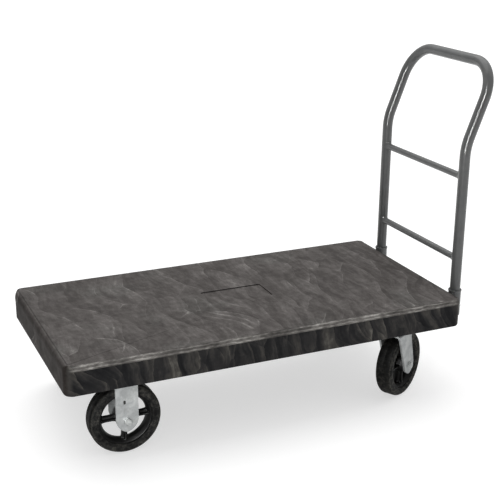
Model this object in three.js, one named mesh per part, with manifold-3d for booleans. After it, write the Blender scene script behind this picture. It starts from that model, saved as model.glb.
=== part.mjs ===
// Flatbed platform truck: a moulded plastic deck with an under-deck rib grid, a bent steel
// tube handle with two cross bars, two rigid casters at the front and two swivel casters
// at the handle end.  Millimetres, +Z up.  Origin: centre of the overall box, on the floor.
// +X points to the handle end, +Y to the right-hand side of a person pushing the truck.

import * as THREE from 'three';
import { mergeVertices } from 'three/addons/utils/BufferGeometryUtils.js';
import Module from 'manifold-3d';

const wasm = await Module();
wasm.setup();

// ---------------------------------------------------------------- driving dimensions
const GAP = 0.3;                 // clearance kept between touching pieces

const DECK_X = -66.6;            // deck centre along X
const DECK_L = 1219.2;           // deck length (48 in)
const DECK_W = 606;              // deck width (24 in nominal)
const DECK_TOP = 307;            // load surface height
const SKIRT_Z = 220;             // lower edge of the skirt
const LIP_H = 17.5;              // height of the rolled band round the top edge
const LIP_OUT = 1.2;             // the band stands proud of the skirt by this much
const CORNER_R = 28;             // plan corner radius
const WALL = 6.5;                // skirt wall
const SKIN = 7;                  // deck skin
const RIB = 5;                   // rib thickness
const RIB_Z = 222;               // lower edge of the ribs
const CELLS_X = 10, CELLS_Y = 5; // rib grid
const PANEL = { hx: 98, hy: 49.5, depth: 2.5 }; // shallow blank panel in the deck top

const PLATE_Z = 241;             // caster mounting height
const WHEEL_R = 101.6;           // 8 in wheel
const TYRE_W = 53;
const WHEEL_SEG = 32;

const RIGID_X = DECK_X - 435.7;  // front axle
const RIGID_Y = 232;
const KING_X = DECK_X + 408.7;   // swivel kingpins
const KING_Y = 250;
const TRAIL = 34;                // kingpin to axle, horizontal
const YAW_RL = 30.6;             // rest angle of the left swivel caster, degrees
const YAW_RR = -14;              // rest angle of the right swivel caster, degrees

const POST_X = DECK_X + 637.3;   // handle posts
const POST_Y = 218.5;
const TUBE_R = 16;
const TUBE_WALL = 2;
const TUBE_FOOT = 228;           // lower end of the posts
const BEND_Z = DECK_TOP + 443;   // where the posts' axes turn back
const BEND_R = 168;
const LEAN = THREE.MathUtils.degToRad(20.85);
const TOP_Z = DECK_TOP + 678;    // axis height of the top bar
const CORNER_BEND_R = 102;
const RUNG_R = 10;
const RUNG_Z = [DECK_TOP + 96, DECK_TOP + 352];

const SLEEVE_R = 19.5, SLEEVE_WALL = 2.7;
const SLEEVE_TOP = DECK_TOP - 2.5, SLEEVE_FOOT = 222;
const PIN_Z = 258;               // cross bolt through sleeve and post

// ---------------------------------------------------------------- materials
const mats = {
  deck: new THREE.MeshStandardMaterial({ color: 0x55524f, roughness: 0.72, metalness: 0 }),
  handle: new THREE.MeshStandardMaterial({ color: 0x50524f, roughness: 0.38, metalness: 0.25 }),
  zinc: new THREE.MeshStandardMaterial({ color: 0xb8bab8, roughness: 0.35, metalness: 0.9 }),
  fastener: new THREE.MeshStandardMaterial({ color: 0x9a9c9c, roughness: 0.35, metalness: 0.9 }),
  tyre: new THREE.MeshStandardMaterial({ color: 0x2c2c2c, roughness: 0.8, metalness: 0 }),
  core: new THREE.MeshStandardMaterial({ color: 0x0d0d0d, roughness: 0.5, metalness: 0.3 }),
};

// ---------------------------------------------------------------- solid helpers
const M = () => new THREE.Matrix4();
const move = (x, y, z) => M().makeTranslation(x, y, z);
const turnX = (a) => M().makeRotationX(a);
const turnY = (a) => M().makeRotationY(a);
const turnZ = (a) => M().makeRotationZ(a);

function solid(geometry, matrix) {
  let g = geometry.clone();
  if (matrix) g.applyMatrix4(matrix);
  for (const k of Object.keys(g.attributes)) if (k !== 'position') g.deleteAttribute(k);
  g = mergeVertices(g, 1e-4);
  const tri = [];
  const idx = g.index.array;
  for (let i = 0; i < idx.length; i += 3) {
    const [a, b, c] = [idx[i], idx[i + 1], idx[i + 2]];
    if (a !== b && b !== c && a !== c) tri.push(a, b, c);
  }
  return new wasm.Manifold(new wasm.Mesh({
    numProp: 3,
    vertProperties: new Float32Array(g.attributes.position.array),
    triVerts: new Uint32Array(tri),
  }));
}

function box(x0, x1, y0, y1, z0, z1, matrix) {
  const m = move((x0 + x1) / 2, (y0 + y1) / 2, (z0 + z1) / 2);
  if (matrix) m.premultiply(matrix);
  return solid(new THREE.BoxGeometry(x1 - x0, y1 - y0, z1 - z0), m);
}

// upright round bar, radius to the corners of its polygon
function bar(r, z0, z1, seg, matrix, phase = 0) {
  const m = move(0, 0, (z0 + z1) / 2).multiply(turnX(Math.PI / 2)).multiply(turnY(phase));
  if (matrix) m.premultiply(matrix);
  return solid(new THREE.CylinderGeometry(r, r, z1 - z0, seg, 1), m);
}

// revolved closed section [radius, z] about Z
function ring(points, seg, matrix, phase = 0) {
  const pts = points.map(([r, z]) => new THREE.Vector2(r, z));
  pts.push(pts[0].clone());
  const m = turnX(Math.PI / 2);
  if (matrix) m.premultiply(matrix);
  return solid(new THREE.LatheGeometry(pts, seg, phase), m);
}

function plate(shape, z0, z1, matrix, curveSegments = 4) {
  const m = move(0, 0, z0);
  if (matrix) m.premultiply(matrix);
  return solid(new THREE.ExtrudeGeometry(shape, { depth: z1 - z0, bevelEnabled: false, curveSegments }), m);
}

function roundRect(hx, hy, r) {
  const s = new THREE.Shape();
  s.moveTo(-hx + r, -hy);
  s.lineTo(hx - r, -hy); s.absarc(hx - r, -hy + r, r, -Math.PI / 2, 0, false);
  s.lineTo(hx, hy - r); s.absarc(hx - r, hy - r, r, 0, Math.PI / 2, false);
  s.lineTo(-hx + r, hy); s.absarc(-hx + r, hy - r, r, Math.PI / 2, Math.PI, false);
  s.lineTo(-hx, -hy + r); s.absarc(-hx + r, -hy + r, r, Math.PI, Math.PI * 1.5, false);
  return s;
}

function hexShape(acrossFlats, phase = 0) {
  const r = acrossFlats / 2 / Math.cos(Math.PI / 6);
  return new THREE.Shape([0, 1, 2, 3, 4, 5].map((i) => new THREE.Vector2(
    r * Math.cos(phase + i * Math.PI / 3), r * Math.sin(phase + i * Math.PI / 3))));
}

const truck = new THREE.Group();

function addPiece(name, manifold, material, group = truck) {
  const mesh = manifold.getMesh();
  const g = new THREE.BufferGeometry();
  const n = mesh.numProp, src = mesh.vertProperties, pos = new Float32Array(src.length / n * 3);
  for (let i = 0; i < src.length / n; i++) {
    pos[i * 3] = src[i * n]; pos[i * 3 + 1] = src[i * n + 1]; pos[i * 3 + 2] = src[i * n + 2];
  }
  g.setAttribute('position', new THREE.BufferAttribute(pos, 3));
  g.setIndex(new THREE.BufferAttribute(new Uint32Array(mesh.triVerts), 1));
  g.computeVertexNormals();
  const m = new THREE.Mesh(g, material);
  m.name = name;
  group.add(m);
  return m;
}

// ---------------------------------------------------------------- deck
const BOLT = [41.5, 28.5];       // caster bolt pattern, half spacings
const corners = [[-1, -1], [1, -1], [1, 1], [-1, 1]];
const casterSites = [
  { id: 'fl', x: RIGID_X, y: -RIGID_Y, swivel: false, side: -1, yaw: 0 },
  { id: 'fr', x: RIGID_X, y: RIGID_Y, swivel: false, side: 1, yaw: 0 },
  { id: 'rl', x: KING_X, y: -KING_Y, swivel: true, side: -1, yaw: YAW_RL },
  { id: 'rr', x: KING_X, y: KING_Y, swivel: true, side: 1, yaw: YAW_RR },
];

function makeDeck() {
  const hx = DECK_L / 2, hy = DECK_W / 2;
  const lipRound = 16;
  const lip = solid(new THREE.ExtrudeGeometry(roundRect(hx, hy, CORNER_R), {
    depth: 20, bevelEnabled: true, bevelThickness: lipRound, bevelSize: 5, bevelOffset: -5,
    bevelSegments: 2, curveSegments: 5,
  }), move(0, 0, DECK_TOP - 20 - lipRound))
    .intersect(box(-700, 700, -400, 400, DECK_TOP - LIP_H, DECK_TOP + 1));
  const skirt = solid(new THREE.ExtrudeGeometry(roundRect(hx - LIP_OUT, hy - LIP_OUT, CORNER_R - LIP_OUT), {
    depth: 74, bevelEnabled: true, bevelThickness: 6, bevelSize: 6, bevelOffset: -6,
    bevelSegments: 1, curveSegments: 5,
  }), move(0, 0, SKIRT_Z + 6))
    .intersect(box(-700, 700, -400, 400, SKIRT_Z - 1, DECK_TOP - 8));
  let deck = lip.add(skirt);

  // hollow the underside into a rib grid
  const ix = hx - LIP_OUT - WALL, iy = hy - LIP_OUT - WALL, ceiling = DECK_TOP - SKIN;
  const inner = plate(roundRect(ix, iy, CORNER_R - LIP_OUT - WALL), SKIRT_Z - 2, ceiling + 1, null, 5);
  deck = deck.subtract(box(-ix, ix, -iy, iy, SKIRT_Z - 1, RIB_Z).intersect(inner));
  const px = (2 * ix + RIB) / CELLS_X, py = (2 * iy + RIB) / CELLS_Y;
  for (let i = 0; i < CELLS_X; i++) {
    for (let j = 0; j < CELLS_Y; j++) {
      const x0 = -ix + i * px, y0 = -iy + j * py;
      const corner = (i === 0 || i === CELLS_X - 1) && (j === 0 || j === CELLS_Y - 1);
      const cell = box(x0, x0 + px - RIB, y0, y0 + py - RIB, RIB_Z - 1, ceiling);
      deck = deck.subtract(corner ? cell.intersect(inner) : cell);
    }
  }

  // caster seats: ribs cut back to the mounting height, one screw boss under each hole
  const deckShift = move(-DECK_X, 0, 0);
  for (const c of casterSites) {
    const x = c.x - DECK_X, s = Math.sign(c.y);
    const y0 = c.y - 54, y1 = c.y + 54;
    const lim = (y) => Math.max(-iy, Math.min(iy, y));
    deck = deck.subtract(box(x - 64, x + 64, lim(y0), lim(y1), SKIRT_Z - 1, PLATE_Z + GAP));
    for (const [a, b] of corners) {
      deck = deck.add(bar(10.5, PLATE_Z + GAP, ceiling + 1, 8, move(x + a * BOLT[0], c.y + b * BOLT[1], 0)));
      deck = deck.subtract(bar(4.8, PLATE_Z - 2, PLATE_Z + 41, 6, move(x + a * BOLT[0], c.y + b * BOLT[1], 0)));
    }
  }

  // handle bracket bosses behind the end wall, with their screw holes
  for (const s of [-1, 1]) {
    for (const t of [-1, 1]) {
      const y = s * POST_Y + t * 34, z = PIN_Z - 6;
      const along = move(0, y, z).multiply(turnY(Math.PI / 2));
      deck = deck.add(bar(10, ix - 28, ix + 1, 8, along));
      deck = deck.subtract(bar(4.8, ix - 22, hx + 2, 6, along));
    }
  }

  // blank panel in the load surface
  deck = deck.subtract(box(-PANEL.hx, PANEL.hx, -PANEL.hy, PANEL.hy, DECK_TOP - PANEL.depth, DECK_TOP + 1));
  addPiece('deck', deck.transform([1, 0, 0, 0, 0, 1, 0, 0, 0, 0, 1, 0, DECK_X, 0, 0, 1]), mats.deck);
}
makeDeck();

// ---------------------------------------------------------------- handle
// A path with its own list of stations, so straight runs take few steps.
class StationPath extends THREE.Curve {
  constructor(stations) { super(); this.st = stations; }
  at(u) {
    const k = Math.min(Math.max(u, 0), 1) * (this.st.length - 1);
    const i = Math.min(Math.floor(k + 1e-9), this.st.length - 2);
    return [i, k - i];
  }
  getPoint(u, target = new THREE.Vector3()) {
    const [i, f] = this.at(u);
    return target.lerpVectors(this.st[i].p, this.st[i + 1].p, f);
  }
  getPointAt(u, target) { return this.getPoint(u, target); }
  getTangent(u, target = new THREE.Vector3()) {
    const [i, f] = this.at(u);
    return target.lerpVectors(this.st[i].t, this.st[i + 1].t, f).normalize();
  }
  getTangentAt(u, target) { return this.getTangent(u, target); }
}

function handleStations(footExtra) {
  const half = [];
  const V = (x, y, z) => new THREE.Vector3(x, y, z);
  const t = BEND_R * Math.tan(LEAN / 2);
  half.push({ p: V(POST_X, -POST_Y, TUBE_FOOT - footExtra), t: V(0, 0, 1) });
  half.push({ p: V(POST_X, -POST_Y, BEND_Z - t), t: V(0, 0, 1) });
  const n1 = 4;
  for (let i = 1; i <= n1; i++) {
    const a = LEAN * i / n1;
    half.push({ p: V(POST_X + BEND_R * (1 - Math.cos(a)), -POST_Y, BEND_Z - t + BEND_R * Math.sin(a)), t: V(Math.sin(a), 0, Math.cos(a)) });
  }
  const last = half[half.length - 1].p;
  const run = (TOP_Z - last.z) / Math.cos(LEAN) - CORNER_BEND_R;
  const d = V(Math.sin(LEAN), 0, Math.cos(LEAN));
  const c0 = last.clone().addScaledVector(d, run);
  const n2 = 7;
  for (let i = 0; i <= n2; i++) {
    const a = Math.PI / 2 * i / n2;
    const p = c0.clone().addScaledVector(d, CORNER_BEND_R * Math.sin(a)).add(V(0, CORNER_BEND_R * (1 - Math.cos(a)), 0));
    half.push({ p, t: d.clone().multiplyScalar(Math.cos(a)).add(V(0, Math.sin(a), 0)).normalize() });
  }
  const other = half.slice().reverse().map(({ p, t: q }) => ({ p: V(p.x, -p.y, p.z), t: V(-q.x, q.y, -q.z) }));
  return half.concat(other);
}

function tubeSolid(r, seg, footExtra) {
  const st = handleStations(footExtra);
  const section = new THREE.Shape(Array.from({ length: seg }, (_, i) => new THREE.Vector2(
    r * Math.cos(2 * Math.PI * i / seg), r * Math.sin(2 * Math.PI * i / seg))));
  return solid(new THREE.ExtrudeGeometry(section, { steps: st.length - 1, extrudePath: new StationPath(st), bevelEnabled: false }));
}

const alongY = (x, y, z) => move(x, y, z).multiply(turnX(-Math.PI / 2));

function makeHandle() {
  let tube = tubeSolid(TUBE_R, 14, 0).subtract(tubeSolid(TUBE_R - TUBE_WALL, 8, 5));
  for (const s of [-1, 1]) {
    tube = tube.subtract(bar(4.4, -30, 30, 8, alongY(POST_X, s * POST_Y, PIN_Z)));
  }
  addPiece('handle_tube', tube, mats.handle);

  RUNG_Z.forEach((z, k) => {
    let rung = bar(RUNG_R, -POST_Y, POST_Y, 12, alongY(POST_X, 0, z))
      .subtract(bar(RUNG_R - 2, -POST_Y - 1, POST_Y + 1, 8, alongY(POST_X, 0, z)));
    for (const s of [-1, 1]) {
      rung = rung.subtract(bar(TUBE_R + GAP + 0.35, z - 40, z + 40, 16, move(POST_X, s * POST_Y, 0)));
      rung = rung.intersect(box(POST_X - 30, POST_X + 30, -POST_Y, POST_Y, z - 30, z + 30));
    }
    addPiece(k ? 'upper_crossbar' : 'lower_crossbar', rung, mats.handle);
  });

  for (const s of [-1, 1]) {
    const tag = s < 0 ? 'left' : 'right';
    const y = s * POST_Y;
    const face = DECK_X + DECK_L / 2 - LIP_OUT;   // outer face of the end skirt
    // sleeve, stand-off block and flange plate, welded into one bracket
    let b = bar(SLEEVE_R, SLEEVE_FOOT, SLEEVE_TOP - 4, 16, move(POST_X, y, 0))
      .add(bar(SLEEVE_R + 1, SLEEVE_TOP - 7, SLEEVE_TOP, 16, move(POST_X, y, 0)))
      .add(box(face + GAP, face + GAP + 6, y - 46, y + 46, SLEEVE_FOOT + 2, DECK_TOP - LIP_H - 1.5))
      .add(box(face + GAP + 3, POST_X - 8, y - 13, y + 13, SLEEVE_FOOT + 2, DECK_TOP - LIP_H - 1.5));
    b = b.subtract(bar(SLEEVE_R - SLEEVE_WALL, SLEEVE_FOOT - 5, SLEEVE_TOP + 5, 16, move(POST_X, y, 0)));
    b = b.subtract(bar(4.4, -40, 40, 8, alongY(POST_X, y, PIN_Z)));
    for (const t of [-1, 1]) {
      b = b.subtract(bar(4.6, face - 5, face + 12, 8, move(0, y + t * 34, PIN_Z - 6).multiply(turnY(Math.PI / 2))));
    }
    addPiece(`handle_socket_${tag}`, b, mats.handle);

    // retaining bolt and nut across sleeve and post
    const o = (a0, a1, r, seg) => bar(r, a0, a1, seg, alongY(POST_X, y, PIN_Z));
    const hex = (a0, a1, af) => plate(hexShape(af), a0, a1, alongY(POST_X, y, PIN_Z));
    const out = s;
    const span = (a0, a1) => out > 0 ? [a0, a1] : [-a1, -a0];
    const [h0, h1] = span(SLEEVE_R + GAP, SLEEVE_R + GAP + 5.3);
    const [k0, k1] = span(-SLEEVE_R - 10, SLEEVE_R + GAP + 1);
    addPiece(`socket_bolt_${tag}`, o(k0, k1, 4, 8).add(hex(h0, h1, 13)), mats.fastener);
    const [n0, n1] = span(-SLEEVE_R - GAP - 6.5, -SLEEVE_R - GAP);
    addPiece(`socket_nut_${tag}`, hex(n0, n1, 13).subtract(o(n0 - 1, n1 + 1, 4.4, 8)), mats.fastener);

    // bracket screws into the end wall
    ['a', 'b'].forEach((e, i) => {
      const yy = y + (i ? 34 : -34), zz = PIN_Z - 6;
      const ax = move(0, yy, zz).multiply(turnY(Math.PI / 2));
      const x0 = face + GAP + 6 + GAP;
      addPiece(`bracket_screw_${tag}_${e}`, bar(4, x0 - 32, x0 + 1, 6, ax).add(plate(hexShape(13), x0, x0 + 5.3, ax)), mats.fastener);
    });
  }
}
makeHandle();

// ---------------------------------------------------------------- casters
const AXLE_R = 6.2, LEG_IN = 31.5, LEG_T = 6, PLATE_T = 6;
const HEX_AF = 19;

// fork leg outline in (s, z), extruded along the axle direction
function legShape(trail, topZ, topHalf, lean, half, r = half - 1) {
  const cx = (z) => trail - lean * (z - WHEEL_R);
  const s = new THREE.Shape();
  const tilt = Math.atan(lean);
  s.moveTo(topHalf, topZ);
  s.lineTo(-topHalf, topZ);
  if (lean) { s.lineTo(-topHalf, topZ - 5); s.lineTo(cx(topZ - 22) - half, topZ - 22); }
  const n = 6;
  for (let i = 0; i <= n; i++) {
    const a = Math.PI + tilt + Math.PI * i / n;
    s.lineTo(trail + r * Math.cos(a), WHEEL_R + r * Math.sin(a));
  }
  if (lean) { s.lineTo(cx(topZ - 22) + half, topZ - 22); s.lineTo(topHalf, topZ - 5); }
  return s;
}

function screwInto(x, y, name) {
  const head0 = PLATE_Z - PLATE_T - GAP - 5.3;
  const p = bar(4, head0 + 1, PLATE_Z + 36, 6, move(x, y, 0))
    .add(plate(hexShape(13), head0, PLATE_Z - PLATE_T - GAP, move(x, y, 0)));
  addPiece(name, p, mats.fastener);
}

for (const c of casterSites) {
  const yaw = THREE.MathUtils.degToRad(c.yaw);
  const trail = c.swivel ? TRAIL : 0;
  const frame = move(c.x, c.y, 0).multiply(turnZ(yaw));   // caster frame: x along travel, kingpin at origin
  const axleAt = (a) => frame.clone().multiply(move(trail, 0, WHEEL_R)).multiply(turnX(-Math.PI / 2)).multiply(a || M());

  // mounting plate, slotless round holes
  let top = plate(roundRect(52.5, 40, 6), PLATE_Z - PLATE_T, PLATE_Z, null, 2);
  for (const [a, b] of corners) top = top.subtract(bar(4.6, PLATE_Z - 20, PLATE_Z + 5, 8, move(a * BOLT[0], b * BOLT[1], 0)));
  const site = move(c.x, c.y, 0);
  const placed = (m) => m.transform(site.elements);

  // two legs
  const flip = turnX(Math.PI / 2);      // shape plane (s, z) upright, extruding along -Y
  const leg = (y0, topZ, topHalf, lean, half, r) => plate(legShape(trail, topZ, topHalf, lean, half, r), -(y0 + LEG_T), -y0, flip, 4);
  const axleHole = bar(AXLE_R + 0.3, -60, 60, 12, move(trail, 0, WHEEL_R).multiply(turnX(-Math.PI / 2)));

  if (c.swivel) {
    const webTop = 218.5;
    let fork = box(-40, 40, -LEG_IN - LEG_T, LEG_IN + LEG_T, webTop - 6, webTop)
      .add(leg(LEG_IN, webTop - 0.5, 40, 0.32, 34.5, 28.5))
      .add(leg(-LEG_IN - LEG_T, webTop - 0.5, 40, 0.32, 34.5, 28.5))
      .add(ring([[20, webTop - 1], [38.5, webTop - 1], [38.5, 223], [20, 223]], 16))
      .subtract(bar(6.6, 200, 240, 12))
      .subtract(axleHole);
    addPiece(`swivel_fork_${c.id}`, fork.transform(frame.elements), mats.zinc);

    // upper race: dished ring under the mounting plate
    top = top.add(ring([[0, 229], [30, 229], [30, 231.2], [40.6, 231.2], [40.6, 224.5], [43, 224.5], [43, 236], [0, 236]], 16))
      .subtract(bar(6.6, 220, 245, 12))
      .subtract(bar(11.5, PLATE_Z - 5.5, PLATE_Z + 1, 12));
    addPiece(`swivel_plate_${c.id}`, placed(top), mats.zinc);

    const ballR = 3.8, ballC = 34.6, zb = (223 + 231.2) / 2;
    const sec = Array.from({ length: 6 }, (_, i) => [ballC + ballR * Math.cos(i * Math.PI / 3), zb + ballR * Math.sin(i * Math.PI / 3)]);
    addPiece(`ball_race_${c.id}`, placed(ring(sec, 16)), mats.fastener);

    const king = bar(6, 205.5, 236.5, 10).add(bar(11, 235.8, 240.6, 12)).add(plate(hexShape(19), 204.9, 212.2));
    addPiece(`kingpin_${c.id}`, placed(king), mats.fastener);
  } else {
    let rig = top
      .add(box(-32, 32, -LEG_IN - LEG_T, LEG_IN + LEG_T, PLATE_Z - PLATE_T - 6, PLATE_Z - PLATE_T + 1))
      .add(leg(LEG_IN, PLATE_Z - PLATE_T - 2, 32, 0, 32))
      .add(leg(-LEG_IN - LEG_T, PLATE_Z - PLATE_T - 2, 32, 0, 32))
      .subtract(axleHole);
    addPiece(`rigid_fork_${c.id}`, placed(rig), mats.zinc);
  }

  corners.forEach(([a, b], i) => screwInto(c.x + a * BOLT[0], c.y + b * BOLT[1], `caster_screw_${c.id}_${i + 1}`));

  // axle: bolt, nut and spacer sleeve.  In the axle frame +Z points along the caster's +Y.
  const o = c.side;
  const span = (a0, a1) => o > 0 ? [a0, a1] : [-a1, -a0];
  const faceOut = LEG_IN + LEG_T + GAP;
  const [h0, h1] = span(faceOut, faceOut + 7.5);
  const [k0, k1] = span(-faceOut - 12, faceOut + 1);
  addPiece(`axle_bolt_${c.id}`, bar(6, k0, k1, 12, axleAt()).add(plate(hexShape(HEX_AF, Math.PI / 6), h0, h1, axleAt())), mats.fastener);
  const [n0, n1] = span(-faceOut - 9.5, -faceOut);
  addPiece(`axle_nut_${c.id}`, plate(hexShape(HEX_AF, Math.PI / 6), n0, n1, axleAt()).subtract(bar(6.4, n0 - 1, n1 + 1, 12, axleAt())), mats.fastener);
  addPiece(`axle_sleeve_${c.id}`, bar(9.5, -LEG_IN + GAP, LEG_IN - GAP, 12, axleAt()).subtract(bar(6.9, -40, 40, 8, axleAt())), mats.fastener);

  // wheel core: hub, rim and four ribbed spokes
  const phase = Math.PI / WHEEL_SEG;
  const apo = (r) => r / Math.cos(phase);
  let core = ring([[24, -30.5], [24, 30.5], [9, 30.5], [9, -30.5]], 12)
    .add(ring([[apo(75.5), -22], [apo(75.5), 22], [apo(64), 22], [apo(64), -22]], WHEEL_SEG, null, phase));
  for (let i = 0; i < 2; i++) {
    const q = turnZ(i * Math.PI / 2);
    core = core.add(box(-66, 66, -7.5, 7.5, -7, 7, q)).add(box(-66, 66, -2.5, 2.5, -17, 17, q));
  }
  core = core.subtract(bar(10.2, -40, 40, 12, null));
  addPiece(`wheel_core_${c.id}`, core.transform(axleAt().elements), mats.core);

  const w = TYRE_W / 2;
  const tyre = ring([[75.8, -w + 2], [86, -w], [95, -w + 1], [101.6, -w + 9],
    [101.6, w - 9], [95, w - 1], [86, w], [75.8, w - 2]].map(([r, z]) => [apo(r), z]), WHEEL_SEG, axleAt(), phase);
  addPiece(`tyre_${c.id}`, tyre, mats.tyre);
}

export default truck;
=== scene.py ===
import math
import bpy
import bmesh
import numpy as np
from mathutils import Matrix, Vector, noise


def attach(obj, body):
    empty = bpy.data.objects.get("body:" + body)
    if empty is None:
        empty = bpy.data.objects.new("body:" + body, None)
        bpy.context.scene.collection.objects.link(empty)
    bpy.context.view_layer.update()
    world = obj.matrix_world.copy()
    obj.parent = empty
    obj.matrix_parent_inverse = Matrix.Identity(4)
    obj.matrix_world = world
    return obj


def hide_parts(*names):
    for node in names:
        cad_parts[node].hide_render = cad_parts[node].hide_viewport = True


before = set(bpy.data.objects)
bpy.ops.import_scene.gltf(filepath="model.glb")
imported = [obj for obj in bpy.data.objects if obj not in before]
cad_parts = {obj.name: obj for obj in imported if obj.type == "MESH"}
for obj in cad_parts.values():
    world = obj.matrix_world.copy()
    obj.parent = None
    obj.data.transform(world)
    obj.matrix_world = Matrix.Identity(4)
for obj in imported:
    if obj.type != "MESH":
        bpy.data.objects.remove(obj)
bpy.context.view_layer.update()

MM = 0.001
SC = bpy.context.scene

# ------------------------------------------------------------------ sizes (mm), the same as the CAD
DECK_X, DECK_L, DECK_W, DECK_TOP, SKIRT_Z = -66.6, 1219.2, 606.0, 307.0, 220.0
LIP_H, LIP_OUT, CORNER_R, WALL, SKIN, RIB, RIB_Z = 17.5, 1.2, 28.0, 6.5, 7.0, 5.0, 222.0
CELLS_X, CELLS_Y = 10, 5
PANEL_HX, PANEL_HY, PANEL_D = 98.0, 49.5, 2.5
PLATE_Z, WHEEL_R, TYRE_W = 241.0, 101.6, 53.0
RIGID_X, RIGID_Y = DECK_X - 435.7, 232.0
KING_X, KING_Y, TRAIL = DECK_X + 408.7, 250.0, 34.0
YAW = {"fl": 0.0, "fr": 0.0, "rl": math.radians(30.6), "rr": math.radians(-14.0)}
POST_X, POST_Y, TUBE_R, TUBE_WALL, TUBE_FOOT = DECK_X + 637.3, 218.5, 16.0, 2.0, 228.0
BEND_Z, BEND_R, LEAN = DECK_TOP + 443.0, 168.0, math.radians(20.85)
TOP_Z, CORNER_BEND_R, RUNG_R = DECK_TOP + 678.0, 102.0, 10.0
RUNG_Z = (DECK_TOP + 96.0, DECK_TOP + 352.0)
SLEEVE_R, SLEEVE_TOP, SLEEVE_FOOT, PIN_Z = 19.5, DECK_TOP - 2.5, 222.0, 258.0
BOLT = (41.5, 28.5)
LEG_IN, LEG_T, PLATE_T = 31.5, 6.0, 6.0
CORNERS = ((-1, -1), (1, -1), (1, 1), (-1, 1))
SITES = {
    "fl": (RIGID_X, -RIGID_Y, False, -1), "fr": (RIGID_X, RIGID_Y, False, 1),
    "rl": (KING_X, -KING_Y, True, -1), "rr": (KING_X, KING_Y, True, 1),
}
WHEEL_BODY = {"fl": "wheel_front_left", "fr": "wheel_front_right", "rl": "wheel_rear_left", "rr": "wheel_rear_right"}
FORK_BODY = {"fl": "frame", "fr": "frame", "rl": "swivel_left", "rr": "swivel_right"}


# ------------------------------------------------------------------ mesh helpers
def make(name, verts, faces, mat=None, sharp=35.0, matrix=None):
    me = bpy.data.meshes.new(name)
    v = np.asarray(verts, float) * MM
    me.from_pydata([tuple(p) for p in v], [], [tuple(int(i) for i in f) for f in faces])
    me.validate()
    ob = bpy.data.objects.new(name, me)
    SC.collection.objects.link(ob)
    if matrix is not None:
        me.transform(matrix)
    tidy(ob, sharp)
    if mat is not None:
        me.materials.append(mat)
    return ob


def tidy(ob, sharp=35.0, recalc=True):
    me = ob.data
    if recalc:
        bm = bmesh.new()
        bm.from_mesh(me)
        bmesh.ops.remove_doubles(bm, verts=bm.verts, dist=1e-6)
        bmesh.ops.recalc_face_normals(bm, faces=bm.faces)
        bm.to_mesh(me)
        bm.free()
    me.shade_smooth()
    me.set_sharp_from_angle(angle=math.radians(sharp))
    me.update()


def finish_mat(ob, mat):
    """one material on every face"""
    me = ob.data
    me.materials.clear()
    me.materials.append(mat)
    me.polygons.foreach_set("material_index", np.zeros(len(me.polygons), np.int32))
    me.update()
    return ob


def apply_mods(ob):
    dg = bpy.context.evaluated_depsgraph_get()
    ev = ob.evaluated_get(dg)
    me = bpy.data.meshes.new_from_object(ev, preserve_all_data_layers=True, depsgraph=dg)
    old = ob.data
    ob.modifiers.clear()
    ob.data = me
    me.name = ob.name
    if old.users == 0:
        bpy.data.meshes.remove(old)
    return ob


def boolean(ob, other, op, keep=False):
    m = ob.modifiers.new("b", "BOOLEAN")
    m.operation = op
    m.object = other
    m.solver = "MANIFOLD"
    apply_mods(ob)
    if not keep:
        bpy.data.objects.remove(other)
    return ob


def bevel(ob, width, segments=2, angle=30.0, clamp=True):
    m = ob.modifiers.new("v", "BEVEL")
    m.width = width * MM
    m.segments = segments
    m.limit_method = "ANGLE"
    m.angle_limit = math.radians(angle)
    m.use_clamp_overlap = clamp
    m.miter_outer = "MITER_ARC"
    m.harden_normals = False
    apply_mods(ob)
    return ob


def weighted(ob, sharp=40.0):
    tidy(ob, sharp, recalc=False)
    m = ob.modifiers.new("w", "WEIGHTED_NORMAL")
    m.keep_sharp = True
    m.weight = 80
    m.mode = "FACE_AREA"
    apply_mods(ob)
    return ob


def join(obs, name):
    """several meshes into one object"""
    bm = bmesh.new()
    for o in obs:
        bm.from_mesh(o.data)
    me = bpy.data.meshes.new(name)
    bm.to_mesh(me)
    bm.free()
    ob = bpy.data.objects.new(name, me)
    SC.collection.objects.link(ob)
    for o in obs:
        bpy.data.objects.remove(o)
    return ob


def loft(rings, cap_start=True, cap_end=True, closed=False):
    """rings: list of equal-length point lists; returns verts, faces"""
    n = len(rings[0])
    verts = [p for r in rings for p in r]
    faces = []
    k = len(rings)
    for i in range(k if closed else k - 1):
        a, b = i * n, ((i + 1) % k) * n
        for j in range(n):
            j2 = (j + 1) % n
            faces.append((a + j, a + j2, b + j2, b + j))
    if not closed:
        if cap_start:
            faces.append(tuple(range(n))[::-1])
        if cap_end:
            faces.append(tuple((k - 1) * n + j for j in range(n)))
    return verts, faces


def lathe(profile, seg, closed=True, phase=0.0):
    """profile [(r, z)] turned about Z. closed: the profile closes on itself; otherwise its ends are on the axis."""
    n = len(profile)
    verts, faces = [], []
    cols = []
    for k in range(n):
        r, z = profile[k]
        if not closed and r < 1e-9:
            verts.append((0, 0, z))
            cols.append([len(verts) - 1] * seg)
        else:
            base = len(verts)
            for j in range(seg):
                a = 2 * math.pi * j / seg + phase
                verts.append((r * math.cos(a), r * math.sin(a), z))
            cols.append([base + j for j in range(seg)])
    for k in range(n if closed else n - 1):
        A, B = cols[k], cols[(k + 1) % n]
        for j in range(seg):
            j2 = (j + 1) % seg
            f = [A[j], A[j2], B[j2], B[j]]
            g = []
            for x in f:
                if x not in g:
                    g.append(x)
            if len(g) > 2:
                faces.append(tuple(g))
    return verts, faces


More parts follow.
